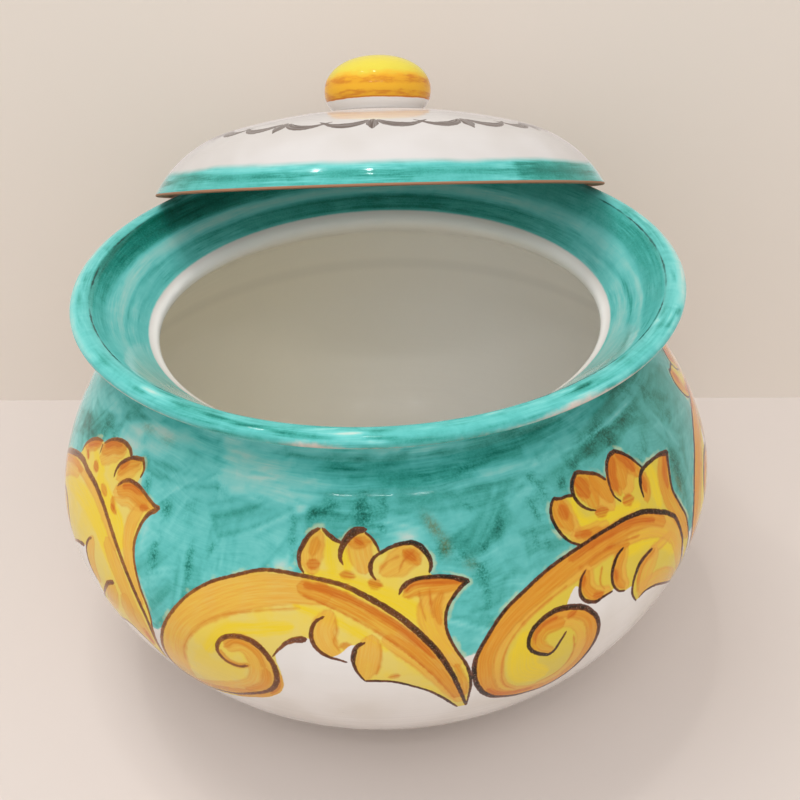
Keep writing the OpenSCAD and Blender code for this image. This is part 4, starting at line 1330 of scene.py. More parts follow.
def sprig(angle, run, length):
    """Three dabs that fan out from one place: each is a short path with its half widths."""
    dabs = []
    for lean, size in DAB_LEANS:
        reach = length * size * np.array([0.2, 0.4, 0.6, 0.8, 1.0])
        turn = np.radians(lean + lean * 1.6 * np.linspace(0, 1, 5) ** 2)
        x = angle + reach * np.sin(turn) / (SPRIG_MIDDLE * ARC_PER_DEGREE)
        y = run - reach * np.cos(turn)
        path = smooth_path(np.column_stack([x, y]), 4)
        plump = np.interp(np.linspace(0, 1, len(path)), (0, 0.25, 0.6, 1), (0.35, 0.9, 1.1, 0.15))
        dabs.append((path, plump * DAB_WIDTH))
    return dabs


on_top = np.flatnonzero((lid_run > TOP_RUN) & (lid_radius > TOP_RADIUS))
outward = slice(None, edge_row + SIDE_ROWS - 1, -1)
sprig_run = float(np.interp(SPRIG_RADIUS, lid_section[outward, 0], lid_runs[outward]))
sprigs = [dab for turn in range(0, 360, SPRIG_EVERY)
          for dab in sprig(turn - 180, sprig_run, SPRIG_LENGTH)]
lid_paint = {"turned": turned_attribute(lid_angle, lid_run)}
sprig_layers = stroke_layers(wrapped(lid_angle[on_top]), lid_run[on_top], lid_radius[on_top], sprigs)
for k, layer in enumerate(sprig_layers):
    lid_paint[f"line_{k + 1}"] = on_whole_skin(layer, on_top, len(lid_points))
print("Sprigs on the lid:", 360 // SPRIG_EVERY, "in", len(sprig_layers), "layers")

# %% [markdown]
# A turquoise band goes round the lid's edge, laid while the wheel turned. It has a darker patch
# where the stroke ran over its own beginning, and paler and darker touches, written as those on
# the pot are, in millimetres above the edge. The edge itself was wiped, and its clay is bare.

# %% The band on the lid
BAND_WIDTH = 11.2
BAND_MIDDLE = 5.6
BAND_BASE = 0.46
BARE_EDGE = 1.3
NO_BAND = -9
BAND_TOUCHES = [
    (-50, 8, 24, 1.2, 4, 0.14), (-66, 5, 16, 1.5, -6, 0.12), (-24, 9.5, 40, 1.6, 0, -0.14),
    (8, 9.4, 50, 1.4, 0, -0.08), (75, 6, 12, 5, 0, -0.16), (-82, 6, 12, 5, 0, -0.12),
    (130, 7, 40, 1.6, 2, 0.12), (-150, 4, 40, 1.8, -2, 0.12)]
overlap = np.interp(wrapped(lid_angle), (33.5, 34.5, 60, 67), (0, 1, 0.8, 0))
overlap *= np.interp(lid_run, (1.2, 2.0, 9.6, 10.2), (0, 1, 1, 0))
bare_edge = np.minimum(BARE_EDGE - lid_run, lid_run + LID_RADIUS - inner_edge + 0.8)
lid_depth = BAND_BASE + 0.2 * overlap + 0.12 * np.exp(-((lid_run - BAND_MIDDLE) / 1.6) ** 2)
lid_depth += touch(wrapped(lid_angle), lid_run, lid_radius, BAND_TOUCHES)
lid_paint["ground"] = np.column_stack([BAND_WIDTH - lid_run, lid_depth, bare_edge])
lid_paint["ground"][lid_run < 0, 0] = NO_BAND
lid = make_mesh("domed_lid", park(lid_points), lid_triangles, lid_paint)
print("Lid mesh:", len(lid.data.polygons), "triangles with", len(lid.data.attributes), "attributes")

# %% [markdown]
# The knob stands on the lid's pad and is parked with it. Its brushwork is all turned, so only the
# height of each point is stored.

# %% The knob's skin
KNOB_ROUND = 200
knob_points, knob_triangles, knob_angle, knob_row = turn_on_wheel(
    knob_section, np.full(len(knob_section), KNOB_ROUND))
knob_height = knob_section[knob_row, 1]
knob_paint = {"turned": turned_attribute(knob_angle, run_length(knob_section)[knob_row]),
              "ground": np.column_stack([knob_height, 0 * knob_height, 0 * knob_height])}
knob = make_mesh("ball_knob", park(knob_points, PAD[1]), knob_triangles, knob_paint)
print("Knob:", len(knob_triangles), "triangles,",
      round(enclosed(knob_points, knob_triangles) / 1000, 1), "cm3 of clay")

# %% [markdown]
# ## Finishes
# A material is a tree of nodes. A few helpers keep the trees short to write: add() makes a node
# and fills its inputs, by link if they are given a socket and by value if they are given a number.
# The rest each make one sort of node, and mostly give back its output, to be used in the next.

# %% Node helpers
def fill(tree, made, inputs):
    """Fills a node's inputs by name or number: a socket is linked, and a value is set."""
    for name, value in inputs.items():
        if isinstance(value, bpy.types.NodeSocket):
            tree.links.new(value, made.inputs[name])
        else:
            made.inputs[name].default_value = value
    return made


def add(tree, kind, inputs=None, **settings):
    """A new node with its settings and its inputs."""
    made = tree.nodes.new("ShaderNode" + kind)
    for name, value in settings.items():
        setattr(made, name, value)
    return fill(tree, made, inputs or {})


def maths(tree, operation, a, b=0.0, c=0.0):
    """One sum on numbers, such as MAXIMUM or DIVIDE."""
    return add(tree, "Math", {0: a, 1: b, 2: c}, operation=operation).outputs[0]


def times(tree, a, b, plus=None):
    """a times b, or a times b plus a third number."""
    if plus is None:
        return maths(tree, "MULTIPLY", a, b)
    return maths(tree, "MULTIPLY_ADD", a, b, plus)


def apart(tree, a, b):
    """How far apart two numbers are: |a - b|."""
    return maths(tree, "ABSOLUTE", maths(tree, "SUBTRACT", a, b))


def ease(tree, value, low, high, out_low=0.0, out_high=1.0):
    """An S-shaped step: out_low up to low, out_high from high on."""
    return add(tree, "MapRange", {0: value, 1: low, 2: high, 3: out_low, 4: out_high},
               interpolation_type="SMOOTHSTEP").outputs[0]


def blend(tree, amount, a, b, how="MIX"):
    """Two colours mixed by an amount from 0 to 1."""
    return add(tree, "Mix", {0: amount, 6: a, 7: b}, data_type="RGBA", blend_type=how).outputs[2]


def speckle(tree, place, size, detail=2.0, roughness=0.5, bend=0.0):
    """Cloudy noise about 0.5, in lumps of about size, read at a place in the same unit."""
    return add(tree, "TexNoise", {"Vector": place, "Scale": 1 / size, "Detail": detail,
                                  "Roughness": roughness, "Distortion": bend}).outputs[0]


def wobble(tree, place, size, detail=2.0, roughness=0.5, bend=0.0):
    """The same noise about zero: it swings from -0.5 to 0.5."""
    return maths(tree, "SUBTRACT", speckle(tree, place, size, detail, roughness, bend), 0.5)


def stored(tree, name):
    """The vector that the mesh holds under a name."""
    return add(tree, "Attribute", attribute_name=name).outputs["Vector"]


def parts(tree, vector):
    """The three numbers of a vector."""
    return add(tree, "SeparateXYZ", {0: vector}).outputs


def ramp(tree, value, stops):
    """A colour ramp with the stops (place, colour)."""
    made = add(tree, "ValToRGB", {0: value})
    stop = made.color_ramp.elements
    while len(stop) < len(stops):
        stop.new(0.5)
    for element, (place, colour) in zip(stop, stops):
        element.position = place
        element.color = colour
    return made.outputs[0]


def new_group(name, inputs, outputs):
    """An empty node group. Inputs and outputs are (name, kind, default) and (name, kind)."""
    tree = bpy.data.node_groups.new(name, "ShaderNodeTree")
    for label, kind, default in inputs:
        made = tree.interface.new_socket(label, in_out="INPUT", socket_type="NodeSocket" + kind)
        if default is not None:
            made.default_value = default
    for label, kind in outputs:
        tree.interface.new_socket(label, in_out="OUTPUT", socket_type="NodeSocket" + kind)
    return tree, tree.nodes.new("NodeGroupInput").outputs, tree.nodes.new("NodeGroupOutput").inputs


def place_group(tree, group, inputs):
    """A group placed in a material with its own values."""
    return fill(tree, add(tree, "Group", node_tree=group), inputs).outputs


def new_material(name):
    """A material with an empty tree: returns it, its tree and its output node."""
    made = bpy.data.materials.new(name)
    made.use_nodes = True
    made.node_tree.nodes.clear()
    return made, made.node_tree, made.node_tree.nodes.new("ShaderNodeOutputMaterial")


print("Node helpers are ready")

# %% [markdown]
# Effects that more than one finish uses are node groups. "Wheel streaks" is noise drawn out round
# the axis, as a brush or a rib held against turning clay leaves it. "Round" and "Across" are the
# size of its lumps in millimetres, round the axis at a radius of 100 mm and along the section.

# %% Group: wheel streaks
streaks, given, out = new_group("Wheel streaks", [
    ("Turned", "Vector", None), ("Round", "Float", 40.0), ("Across", "Float", 2.0),
    ("Seed", "Float", 0.0)], [("Streak", "Float")])
turned = parts(streaks, given["Turned"])
around = maths(streaks, "DIVIDE", 100.0, given["Round"])
up = maths(streaks, "DIVIDE", 100.0, given["Across"])
place = add(streaks, "CombineXYZ", {
    0: times(streaks, turned[0], around, given["Seed"]),
    1: times(streaks, turned[1], around),
    2: times(streaks, turned[2], up)}).outputs[0]
streaks.links.new(speckle(streaks, place, 1.0, 3.0, 0.55), out["Streak"])


def streak(tree, turned, round_size, across_size, seed=0.0):
    """Wheel streaks about zero, with lumps of a size round the axis and along the section."""
    made = place_group(tree, streaks, {"Turned": turned, "Round": round_size,
                                       "Across": across_size, "Seed": seed})
    return maths(tree, "SUBTRACT", made[0], 0.5)


print("Made", streaks.name)

# %% [markdown]
# "Brush stroke" reads one layer of strokes. Where the distance across is less than the half width,
# there is paint. A brush leaves more than an even band: its edge wavers, paint pools along the
# edge and leaves it darker, and the hairs draw fine lines along the stroke.

# %% Group: brush stroke
stroke_group, given, out = new_group("Brush stroke", [
    ("Stroke", "Vector", None), ("Place", "Vector", None), ("Waver", "Float", 0.25),
    ("Waver size", "Float", 1.6), ("Softness", "Float", 0.3), ("Hair", "Float", 0.7)],
    [("Cover", "Float"), ("Pool", "Float"), ("Hairs", "Float"), ("Inside", "Float")])
across, half, along = parts(stroke_group, given["Stroke"])
finer = maths(stroke_group, "DIVIDE", 1.0, given["Waver size"])
waver_place = add(stroke_group, "VectorMath", {0: given["Place"], "Scale": finer}, operation="SCALE")
waver = wobble(stroke_group, waver_place.outputs[0], 1.0)
waver = times(stroke_group, times(stroke_group, waver, given["Waver"]), 2.0)
spare = maths(stroke_group, "SUBTRACT", half, maths(stroke_group, "ABSOLUTE", across))
spare = maths(stroke_group, "ADD", spare, waver)
stroke_group.links.new(ease(stroke_group, maths(stroke_group, "DIVIDE", spare, given["Softness"]),
                            -0.5, 0.5), out["Cover"])
stroke_group.links.new(ease(stroke_group, spare, 0.1, 1.1, 1.0, 0.0), out["Pool"])
stroke_group.links.new(spare, out["Inside"])
hair_place = add(stroke_group, "CombineXYZ", {
    0: maths(stroke_group, "DIVIDE", across, given["Hair"]),
    1: times(stroke_group, along, 0.07)}).outputs[0]
stroke_group.links.new(speckle(stroke_group, hair_place, 1.0, 3.0, 0.6), out["Hairs"])
print("Made", stroke_group.name)

# %% [markdown]
# "Glaze skin" is the surface of fired glaze: very smooth, with slow waves left by the throwing,
# a fine orange peel, and a few pinholes where bubbles broke.

# %% Group: glaze skin
skin, given, out = new_group("Glaze skin", [
    ("Place", "Vector", None), ("Turned", "Vector", None)],
    [("Height", "Float"), ("Roughness", "Float")])
ridge = place_group(skin, streaks, {"Turned": given["Turned"], "Round": 160.0, "Across": 7.0})[0]
peel = speckle(skin, given["Place"], 2.2, 2.0)
slow = speckle(skin, given["Place"], 14.0, 2.0)
height = times(skin, ridge, 0.55, times(skin, slow, 0.35))
height = times(skin, peel, 0.03, height)
hole = add(skin, "TexVoronoi", {"Vector": given["Place"], "Scale": 0.09}, feature="F1")
holes = ease(skin, hole.outputs["Distance"], 0.02, 0.045, 1.0, 0.0)
skin.links.new(times(skin, holes, -0.15, height), out["Height"])
skin.links.new(ease(skin, slow, 0.3, 0.75, 0.05, 0.13), out["Roughness"])
print("Made", skin.name)

# %% [markdown]
# The jar's paints, as they look after firing: white tin glaze with a breath of pink from the
# clay, copper turquoise from pale to bottle green, antimony yellow, amber and orange from iron,
# and manganese brown for the outlines. Bare clay shows only where the glaze was wiped away. Each
# of the four washes has its colour, the softness of its edge in millimetres, and how much paint
# pools along that edge.

# %% Paint colours
WHITE = linear(231, 225, 219)
WHITE_SHADE = linear(221, 213, 204)
TURQUOISE = [(0.0, linear(186, 212, 202)), (0.14, linear(150, 209, 201)),
             (0.3, linear(116, 202, 196)), (0.42, linear(94, 188, 182)),
             (0.56, linear(66, 162, 151)), (0.7, linear(38, 132, 119)),
             (0.85, linear(18, 104, 90)), (1.0, linear(6, 80, 62))]
YELLOW = linear(230, 202, 84)
PALE_YELLOW = linear(226, 202, 104)
OLIVE_YELLOW = linear(214, 188, 56)
ORANGE = linear(200, 100, 20)
WASH_PAINTS = {"lemon": (linear(234, 202, 38), 2.6, 0.0), "amber": (linear(226, 166, 64), 1.5, 0.22),
               "gold": (linear(216, 138, 36), 1.7, 0.25), "orange": (ORANGE, 1.6, 0.0)}
BROWN = linear(26, 10, 6)
RED_BROWN = linear(104, 54, 30)
LIGHT_BROWN = linear(146, 88, 34)
OLIVE_GREEN = linear(112, 106, 34)
# Grey green of the pot's right side: partly a greyer paint, partly painted shade and sheen.
SHADED_DULL_GREEN = linear(96, 128, 108)
FRINGE = linear(206, 210, 160)
BUBBLE = linear(150, 120, 104)
SPRIG_BROWN = linear(84, 68, 60)
KNOB_YELLOW = linear(220, 204, 74)
KNOB_GOLD = linear(232, 172, 46)
KNOB_BROWN = linear(196, 108, 36)
CLAY = linear(166, 118, 90)
# Pink of thin glaze under the lip, standing in part for the lip's highlight: a painted highlight.
THIN_GLAZE_AND_HIGHLIGHT = linear(222, 200, 188)
# Painted shade: the dark line in the collar's crease.
CREASE_SHADE = linear(24, 52, 46)
# The inside whites are brighter than the outside white: painted light for the dim inside. The warm
# one is partly the inner glaze's tint and partly painted shade.
LIT_INSIDE_WHITE = linear(249, 246, 240)
LIT_INSIDE_WARM = linear(246, 238, 218)
# The lid's whites are darker copies of the pot's whites: painted shade against the light the lid's
# top catches.
SHADED_LID_WHITE = linear(209, 205, 202)
SHADED_LID_TONE = linear(202, 197, 192)
print("The paint box holds", len(TURQUOISE), "depths of turquoise")

# %% [markdown]
# Every glazed piece has the same kind of surface: a Principled shader whose gloss gives way to
# dull clay where the glaze was wiped off, with the small waves of the glaze as bump.

# %% The glazed surface
BUMP = {"Strength": 0.55, "Distance": 0.0006}
GLAZE = {"IOR": 1.46, "Specular IOR Level": 0.25}
CLAY_ROUGHER = 0.6


def millimetres(tree):
    """The point on the piece itself, in millimetres."""
    place = add(tree, "TexCoord").outputs["Object"]
    return add(tree, "VectorMath", {0: place, 1: (1 / MM, 1 / MM, 1 / MM)},
               operation="MULTIPLY").outputs[0]


def glazed_shader(tree, output, colour, height, roughness, bare):
    """The Principled surface of every piece: gloss where there is glaze, dull clay where not."""
    bump = add(tree, "Bump", {**BUMP, "Height": height})
    surface = add(tree, "BsdfPrincipled", {
        **GLAZE, "Base Color": blend(tree, bare, colour, CLAY), "Normal": bump.outputs[0],
        "Roughness": times(tree, bare, CLAY_ROUGHER, roughness)})
    tree.links.new(surface.outputs[0], output.inputs[0])


def new_finish(name):
    """A new material with what all three finishes read: the place on the piece in millimetres,
    the turned place, and the skin of the glaze."""
    made, tree, output = new_material(name)
    place = millimetres(tree)
    turned = stored(tree, "turned")
    surface = place_group(tree, skin, {"Place": place, "Turned": turned})
    return made, tree, output, place, turned, surface


print("Glaze has an index of refraction of", GLAZE["IOR"])

# %% [markdown]
# The turquoise is built up like the real wash. Its depth starts from the stored number. Slow
# clouds, streaks round the wheel, the dabs and fine grain are added to it, and the sum picks a
# colour between the palest and the darkest turquoise.

# %% Group: turquoise wash
wash, given, out = new_group("Turquoise wash", [
    ("Place", "Vector", None), ("Turned", "Vector", None), ("Depth", "Float", 0.4),
    ("Dabs", "Float", 0.0), ("Clouds", "Float", 0.3), ("Streaks", "Float", 0.3),
    ("Sway", "Float", 0.0)], [("Color", "Color")])
clouds = wobble(wash, given["Place"], 7.0, 3.0, 0.6, 0.6)
bend = times(wash, wobble(wash, given["Place"], 30.0, 1.0), given["Sway"])
swayed = add(wash, "CombineXYZ", {2: times(wash, bend, 0.01)}).outputs[0]
swayed = add(wash, "VectorMath", {0: given["Turned"], 1: swayed}, operation="ADD").outputs[0]
hairs = [streak(wash, swayed, 30.0, 2.6), streak(wash, swayed, 14.0, 0.8, 3.0)]
grain = speckle(wash, given["Place"], 0.75, 2.0, 0.7)
patchy = ease(wash, speckle(wash, given["Place"], 17.0, 2.0), 0.38, 0.6, 0.25, 1.0)
streaky = times(wash, given["Streaks"], patchy)
total = times(wash, clouds, given["Clouds"], given["Depth"])
for hair in hairs:
    total = times(wash, hair, streaky, total)
uneven = ease(wash, clouds, -0.2, 0.16, 0.25, 0.8)
sponged = times(wash, given["Dabs"], uneven)
sponged = times(wash, sponged, ease(wash, grain, 0.3, 0.66, 0.4, 1.0))
total = maths(wash, "ADD", sponged, total)
grainy = times(wash, maths(wash, "SUBTRACT", grain, 0.5), ease(wash, total, 0.3, 0.8))
total = times(wash, grainy, 0.3, total)
wash.links.new(ramp(wash, total, TURQUOISE), out["Color"])
print("Made", wash.name)

# %% [markdown]
# The pot's finish lays the paints one over another in the order that the painter used them:
# white, turquoise, yellow, amber, orange, brown outline. First comes the white. Inside the pot it
# is painted brighter, as painted light for the dim inside, and warmer towards the left, partly the
# inner glaze's tint and partly painted shade; a faint darker ring, painted shade of a throwing ring,
# runs round it. Places along the wall are ranges in millimetres past the rim's widest line, over
# which one thing gives way to another.

# %% Finish: the pot's white glaze
NECK_FADE = (-52.0, -34.0)
SHOULDER_FADE = (-60.0, -8.0)
LIP_STARTS = (-8.0, -5.0)
COLLAR_STARTS = (7.0, 9.5)
CREASE_AT = 8.7
INSIDE_STARTS = (34.0, 38.0)
INSIDE_GLOSS = (36.0, 44.0)
INSIDE_WALL = (44.0, 60.0)
SHADED_RING_AT = 89.0
pot_finish, tree, output, place, turned, surface = new_finish("painted_pot_glaze")
ground_edge_at, ground_depth, bare = parts(tree, stored(tree, "ground"))
yellow_edge, past_rim, dabs = parts(tree, stored(tree, "yellow"))
olive, pink, _ = parts(tree, stored(tree, "stain"))
ragged = wobble(tree, place, 3.0, 3.0, 0.6)
white = blend(tree, ease(tree, speckle(tree, place, 30.0), 0.35, 0.7), WHITE, WHITE_SHADE)
across_pot = parts(tree, place)[0]
# Painted light and shade: the inside is brighter than the outside white, and warmer to the left,
# partly the inner glaze's tint and partly painted shade.
warm_shade = times(tree, ease(tree, across_pot, -90.0, 60.0, 1.0, 0.0),
             ease(tree, past_rim, *INSIDE_WALL))
inside = blend(tree, warm_shade, LIT_INSIDE_WHITE, LIT_INSIDE_WARM)
# Painted shade of a throwing ring: a faint darker ring round the inside.
off_ring = apart(tree, past_rim, SHADED_RING_AT)
thrown = ease(tree, off_ring, 1.0, 7.0, 0.94, 1.0)
thrown = add(tree, "CombineColor", {0: thrown, 1: thrown, 2: thrown}).outputs[0]
inside = blend(tree, 1.0, inside, thrown, "MULTIPLY")
colour = blend(tree, ease(tree, past_rim, *INSIDE_STARTS), white, inside)
print("With its white glaze the pot's finish has", len(tree.nodes), "nodes")

# %% [markdown]
# Turquoise goes over the white. It is duller and greener on the right, partly a greyer paint and
# partly painted shade and sheen of that side, olive where it took up some brown, and pale where it
# frays out beside the yellow. Under the lip the glaze is thin and the clay shows pink, in a line
# that is partly a painted highlight, set where the lip's highlight falls. In the crease of the
# collar a dark line is painted shade.

# %% Finish: the pot's turquoise
in_collar = ease(tree, past_rim, *COLLAR_STARTS)
turquoise = place_group(tree, wash, {
    "Place": place, "Turned": turned, "Depth": ground_depth, "Dabs": dabs,
    "Clouds": times(tree, in_collar, -0.14, 0.3),
    "Streaks": ease(tree, past_rim, *NECK_FADE, 0.16, 0.4),
    "Sway": ease(tree, past_rim, *NECK_FADE, 16.0, 0.0)})["Color"]
loose = times(tree, ragged, times(tree, in_collar, -2.7, 3.0))
turquoise_cover = ease(tree, maths(tree, "ADD", loose, ground_edge_at), -0.4, 0.6)
# Painted shade and sheen in part: the right side of the pot is dulled towards grey green.
dull = times(tree, ease(tree, across_pot, 15.0, 115.0, 0.0, 0.55),
             ease(tree, past_rim, *SHOULDER_FADE, 1.0, 0.6))
dull = times(tree, dull, ease(tree, past_rim, *LIP_STARTS, 1.0, 0.0))
turquoise = blend(tree, dull, turquoise, blend(tree, 0.5, turquoise, SHADED_DULL_GREEN))
olive_grain = ease(tree, speckle(tree, place, 0.9, 2.0, 0.7), 0.3, 0.62, 0.35, 1.0)
turquoise = blend(tree, times(tree, olive, olive_grain), turquoise, OLIVE_GREEN)
fringe = ease(tree, times(tree, ragged, 2.4, yellow_edge), -2.2, -1.0)
fringe_patches = ease(tree, speckle(tree, place, 8.0, 2.0), 0.46, 0.62, 0.0, 0.6)
turquoise = blend(tree, times(tree, fringe, fringe_patches), turquoise, FRINGE)
colour = blend(tree, turquoise_cover, colour, turquoise)
# Painted highlight in part: the thin pink glaze under the lip is laid where the lip's highlight
# falls.
thin = ease(tree, times(tree, ragged, 0.7, pink), 0.12, 0.85, 0.0, 0.9)
colour = blend(tree, thin, colour, THIN_GLAZE_AND_HIGHLIGHT)
# Painted shade: a thin dark line along the collar's crease.
off_crease = apart(tree, past_rim, CREASE_AT)
crease_shade = ease(tree, times(tree, ragged, 0.9, off_crease), 0.1, 0.5, 1.0, 0.0)
crease_shade_patches = ease(tree, speckle(tree, place, 16.0, 1.0), 0.4, 0.62, 0.12, 0.85)
colour = blend(tree, times(tree, crease_shade, crease_shade_patches), colour, CREASE_SHADE)
print("With its turquoise the pot's finish has", len(tree.nodes), "nodes")

# %% [markdown]
# The yellow ground of the scrolls is paler here and there and deeper on the right. The washes go
# over it: the hairs of the brush show in each, and amber and gold pool along their edges.

# %% Finish: the pot's yellow and its washes
fill_edge = times(tree, ragged, 0.8, yellow_edge)
fill_cover = ease(tree, fill_edge, -0.25, 0.2)
body = ease(tree, speckle(tree, place, 12.0, 3.0), 0.42, 0.62)
body = blend(tree, body, YELLOW, PALE_YELLOW)
body = blend(tree, ease(tree, across_pot, 5.0, 60.0, 0.0, 0.7), body, OLIVE_YELLOW)
colour = blend(tree, fill_cover, colour, body)

for kind in WASHES:
    wash_colour, softness, pooling = WASH_PAINTS[kind]
    for name in sorted(paint):
        if not name.startswith(kind):
            continue
        made = place_group(tree, stroke_group, {
            "Stroke": stored(tree, name), "Place": place, "Waver": 0.7, "Waver size": 3.5,
            "Softness": softness, "Hair": 0.7})
        strength = ease(tree, made["Hairs"], 0.3, 0.7, 0.5, 0.95)
        strength = times(tree, strength, made["Cover"])
        strength = times(tree, strength, fill_cover)
        colour = blend(tree, strength, colour, wash_colour)
        if pooling:
            edge = times(tree, times(tree, made["Pool"], strength), pooling)
            colour = blend(tree, edge, colour, ORANGE, "MULTIPLY")
print("With its washes the pot's finish has", len(tree.nodes), "nodes")

# %% [markdown]
# The brown outlines come last. Where the paint lies thin they turn from brown to red brown and to
# light brown, and where it lies thick small bubbles broke in it. The gloss is for the whole pot.

# %% Finish: the pot's outlines and gloss
outline, thick = 0.0, 0.0
for name in sorted(paint):
    if name.startswith("line_"):
        made = place_group(tree, stroke_group, {"Stroke": stored(tree, name), "Place": place})
        outline = maths(tree, "MAXIMUM", outline, made["Cover"])
        thick = maths(tree, "MAXIMUM", thick, made["Inside"])
thinned = maths(tree, "ADD", speckle(tree, place, 2.0), speckle(tree, place, 30.0))
# The outlines also turn lighter towards the left of the pot and darker towards the right.
sideways = ease(tree, across_pot, -110.0, 60.0, 0.42, -0.22)
worn = maths(tree, "ADD", maths(tree, "ADD", thinned, sideways),
             ease(tree, thick, 0.1, 0.9, 0.3, 0.0))
brown = blend(tree, ease(tree, worn, 0.7, 1.25), BROWN, RED_BROWN)
brown = blend(tree, ease(tree, worn, 1.25, 1.7), brown, LIGHT_BROWN)
bubbles = ease(tree, speckle(tree, place, 0.55, 1.0), 0.56, 0.68)
bubbles = times(tree, bubbles, ease(tree, thick, 0.3, 0.8, 0.0, 0.5))
brown = blend(tree, bubbles, brown, BUBBLE)
colour = blend(tree, times(tree, outline, 0.97), colour, brown)
height = times(tree, outline, 0.05, surface["Height"])
inside_pot = ease(tree, past_rim, *INSIDE_GLOSS)
roughness = times(tree, inside_pot, 0.12, surface["Roughness"])
wiped = ease(tree, times(tree, ragged, 0.5, bare), -0.1, 0.1)
glazed_shader(tree, output, colour, height, roughness, wiped)
pot.data.materials.append(pot_finish)
print("Pot finish has", len(tree.nodes), "nodes")

# %% [markdown]
# The lid's white glaze is a darker copy of the pot's, painted shade that holds back the light its
# top catches. It has a band of the same turquoise, and the brown sprigs, thinned with water so that
# they look greyer than the outlines on the pot. Near the knob it is duller.

# %% Finish: the lid
lid_finish, tree, output, place, turned, surface = new_finish("painted_lid_glaze")
band_edge, band_depth, bare = parts(tree, stored(tree, "ground"))
ragged = wobble(tree, place, 22.0, 2.0)
# Painted shade: the lid's white is darker than the pot's white.
colour = blend(tree, ease(tree, speckle(tree, place, 30.0), 0.35, 0.7), SHADED_LID_WHITE, SHADED_LID_TONE)
band = place_group(tree, wash, {"Place": place, "Turned": turned, "Depth": band_depth,
                                "Streaks": 0.5, "Clouds": 0.2})
cover = ease(tree, times(tree, ragged, 3.0, band_edge), -1.3, 2.2)
colour = blend(tree, cover, colour, band["Color"])
outline = 0.0
for k in range(len(sprig_layers)):
    made = place_group(tree, stroke_group, {"Stroke": stored(tree, f"line_{k + 1}"),
                                            "Place": place, "Waver": 0.4})
    shade = times(tree, made["Cover"], ease(tree, made["Hairs"], 0.3, 0.7, 0.7, 1.0))
    outline = maths(tree, "MAXIMUM", outline, shade)
colour = blend(tree, outline, colour, SPRIG_BROWN)
near_knob = ease(tree, band_edge, -66.0, -46.0, 0.4, 0.0)
roughness = maths(tree, "ADD", near_knob, surface["Roughness"])
wiped = ease(tree, times(tree, ragged, 0.3, bare), -0.1, 0.1)
glazed_shader(tree, output, colour, surface["Height"], roughness, wiped)
lid.data.materials.append(lid_finish)
print("Lid finish has", len(tree.nodes), "nodes")

# %% [markdown]
# The knob was brushed on the wheel: yellow on top, amber lower down with two darker turns of
# the brush, and a white foot where the paint stops. Heights on it are in millimetres above the
# lid's pad. A turn of the brush has its lower and upper height, the softness of its edges and how
# faint its faintest hairs are.

# %% Finish: the knob
GOLD_TO_YELLOW = (12.0, 16.5)
BRUSH_TURNS = ((10.2, 12.6, 1.2, -0.02), (4.8, 6.8, 0.8, -0.05))
FOOT_EDGE = (4.1, 4.35)
POOL_AT = 4.5
knob_finish, tree, output, place, turned, surface = new_finish("painted_knob_glaze")
height_on_knob = parts(tree, stored(tree, "ground"))[0]
fine = streak(tree, turned, 26.0, 1.3)
broad = streak(tree, turned, 40.0, 5.0, 4.0)
level = times(tree, broad, 4.0, height_on_knob)
golden = times(tree, fine, 3.0, level)
colour = blend(tree, ease(tree, golden, *GOLD_TO_YELLOW, 1.0, 0.0), KNOB_YELLOW, KNOB_GOLD)
for low, high, soft, least in BRUSH_TURNS:
    turned_on = ease(tree, level, low - soft, low + 0.2)
    turned_off = ease(tree, level, high - 0.2, high + soft, 1.0, 0.0)
    amount = times(tree, turned_on, turned_off)
    amount = times(tree, amount, ease(tree, fine, least - 0.1, least + 0.2, 0.15, 0.7))
    colour = blend(tree, amount, colour, KNOB_BROWN)
foot_edge = times(tree, broad, 0.8, height_on_knob)
off_pool = apart(tree, foot_edge, POOL_AT)
colour = blend(tree, ease(tree, off_pool, 0.1, 0.5, 0.8, 0.0), colour, KNOB_BROWN)
colour = blend(tree, ease(tree, foot_edge, *FOOT_EDGE), WHITE, colour)
glazed_shader(tree, output, colour, surface["Height"], surface["Roughness"], 0.0)
knob.data.materials.append(knob_finish)
print("Knob finish has", len(tree.nodes), "nodes")

# %% [markdown]
# ## The table, the wall and the light
# The jar stands on a pale table against a plain wall, close enough that the parked lid nearly
# touches it. The wall is seen from the front only: from behind it is clear, so that the back of
# the jar can be looked at too. It throws no shadow and isn't seen in the glaze. Sizes are in
# metres; the wall's turn and lean are its set-back for each metre to the right and upwards.

# %% Table and wall
WALL_AT = 0.1529
WALL_TURN = -0.0382
WALL_LEAN = 0.11
WALL_HEIGHT = 2.5
REACH = 3


def stage_plane(name, corners):
    """A flat stage piece with four corners."""
    mesh = bpy.data.meshes.new(name)
    mesh.from_pydata(corners, [], [(0, 1, 2, 3)])
    made = new_object(name, mesh)
    return made


table = stage_plane("table", [(-REACH, -REACH, 0), (REACH, -REACH, 0), (REACH, REACH, 0),
                              (-REACH, REACH, 0)])
table_finish, tree, output = new_material("pale_table")
surface = add(tree, "BsdfPrincipled", {"Base Color": linear(218, 208, 201), "Roughness": 0.45})
tree.links.new(surface.outputs[0], output.inputs[0])
table.data.materials.append(table_finish)

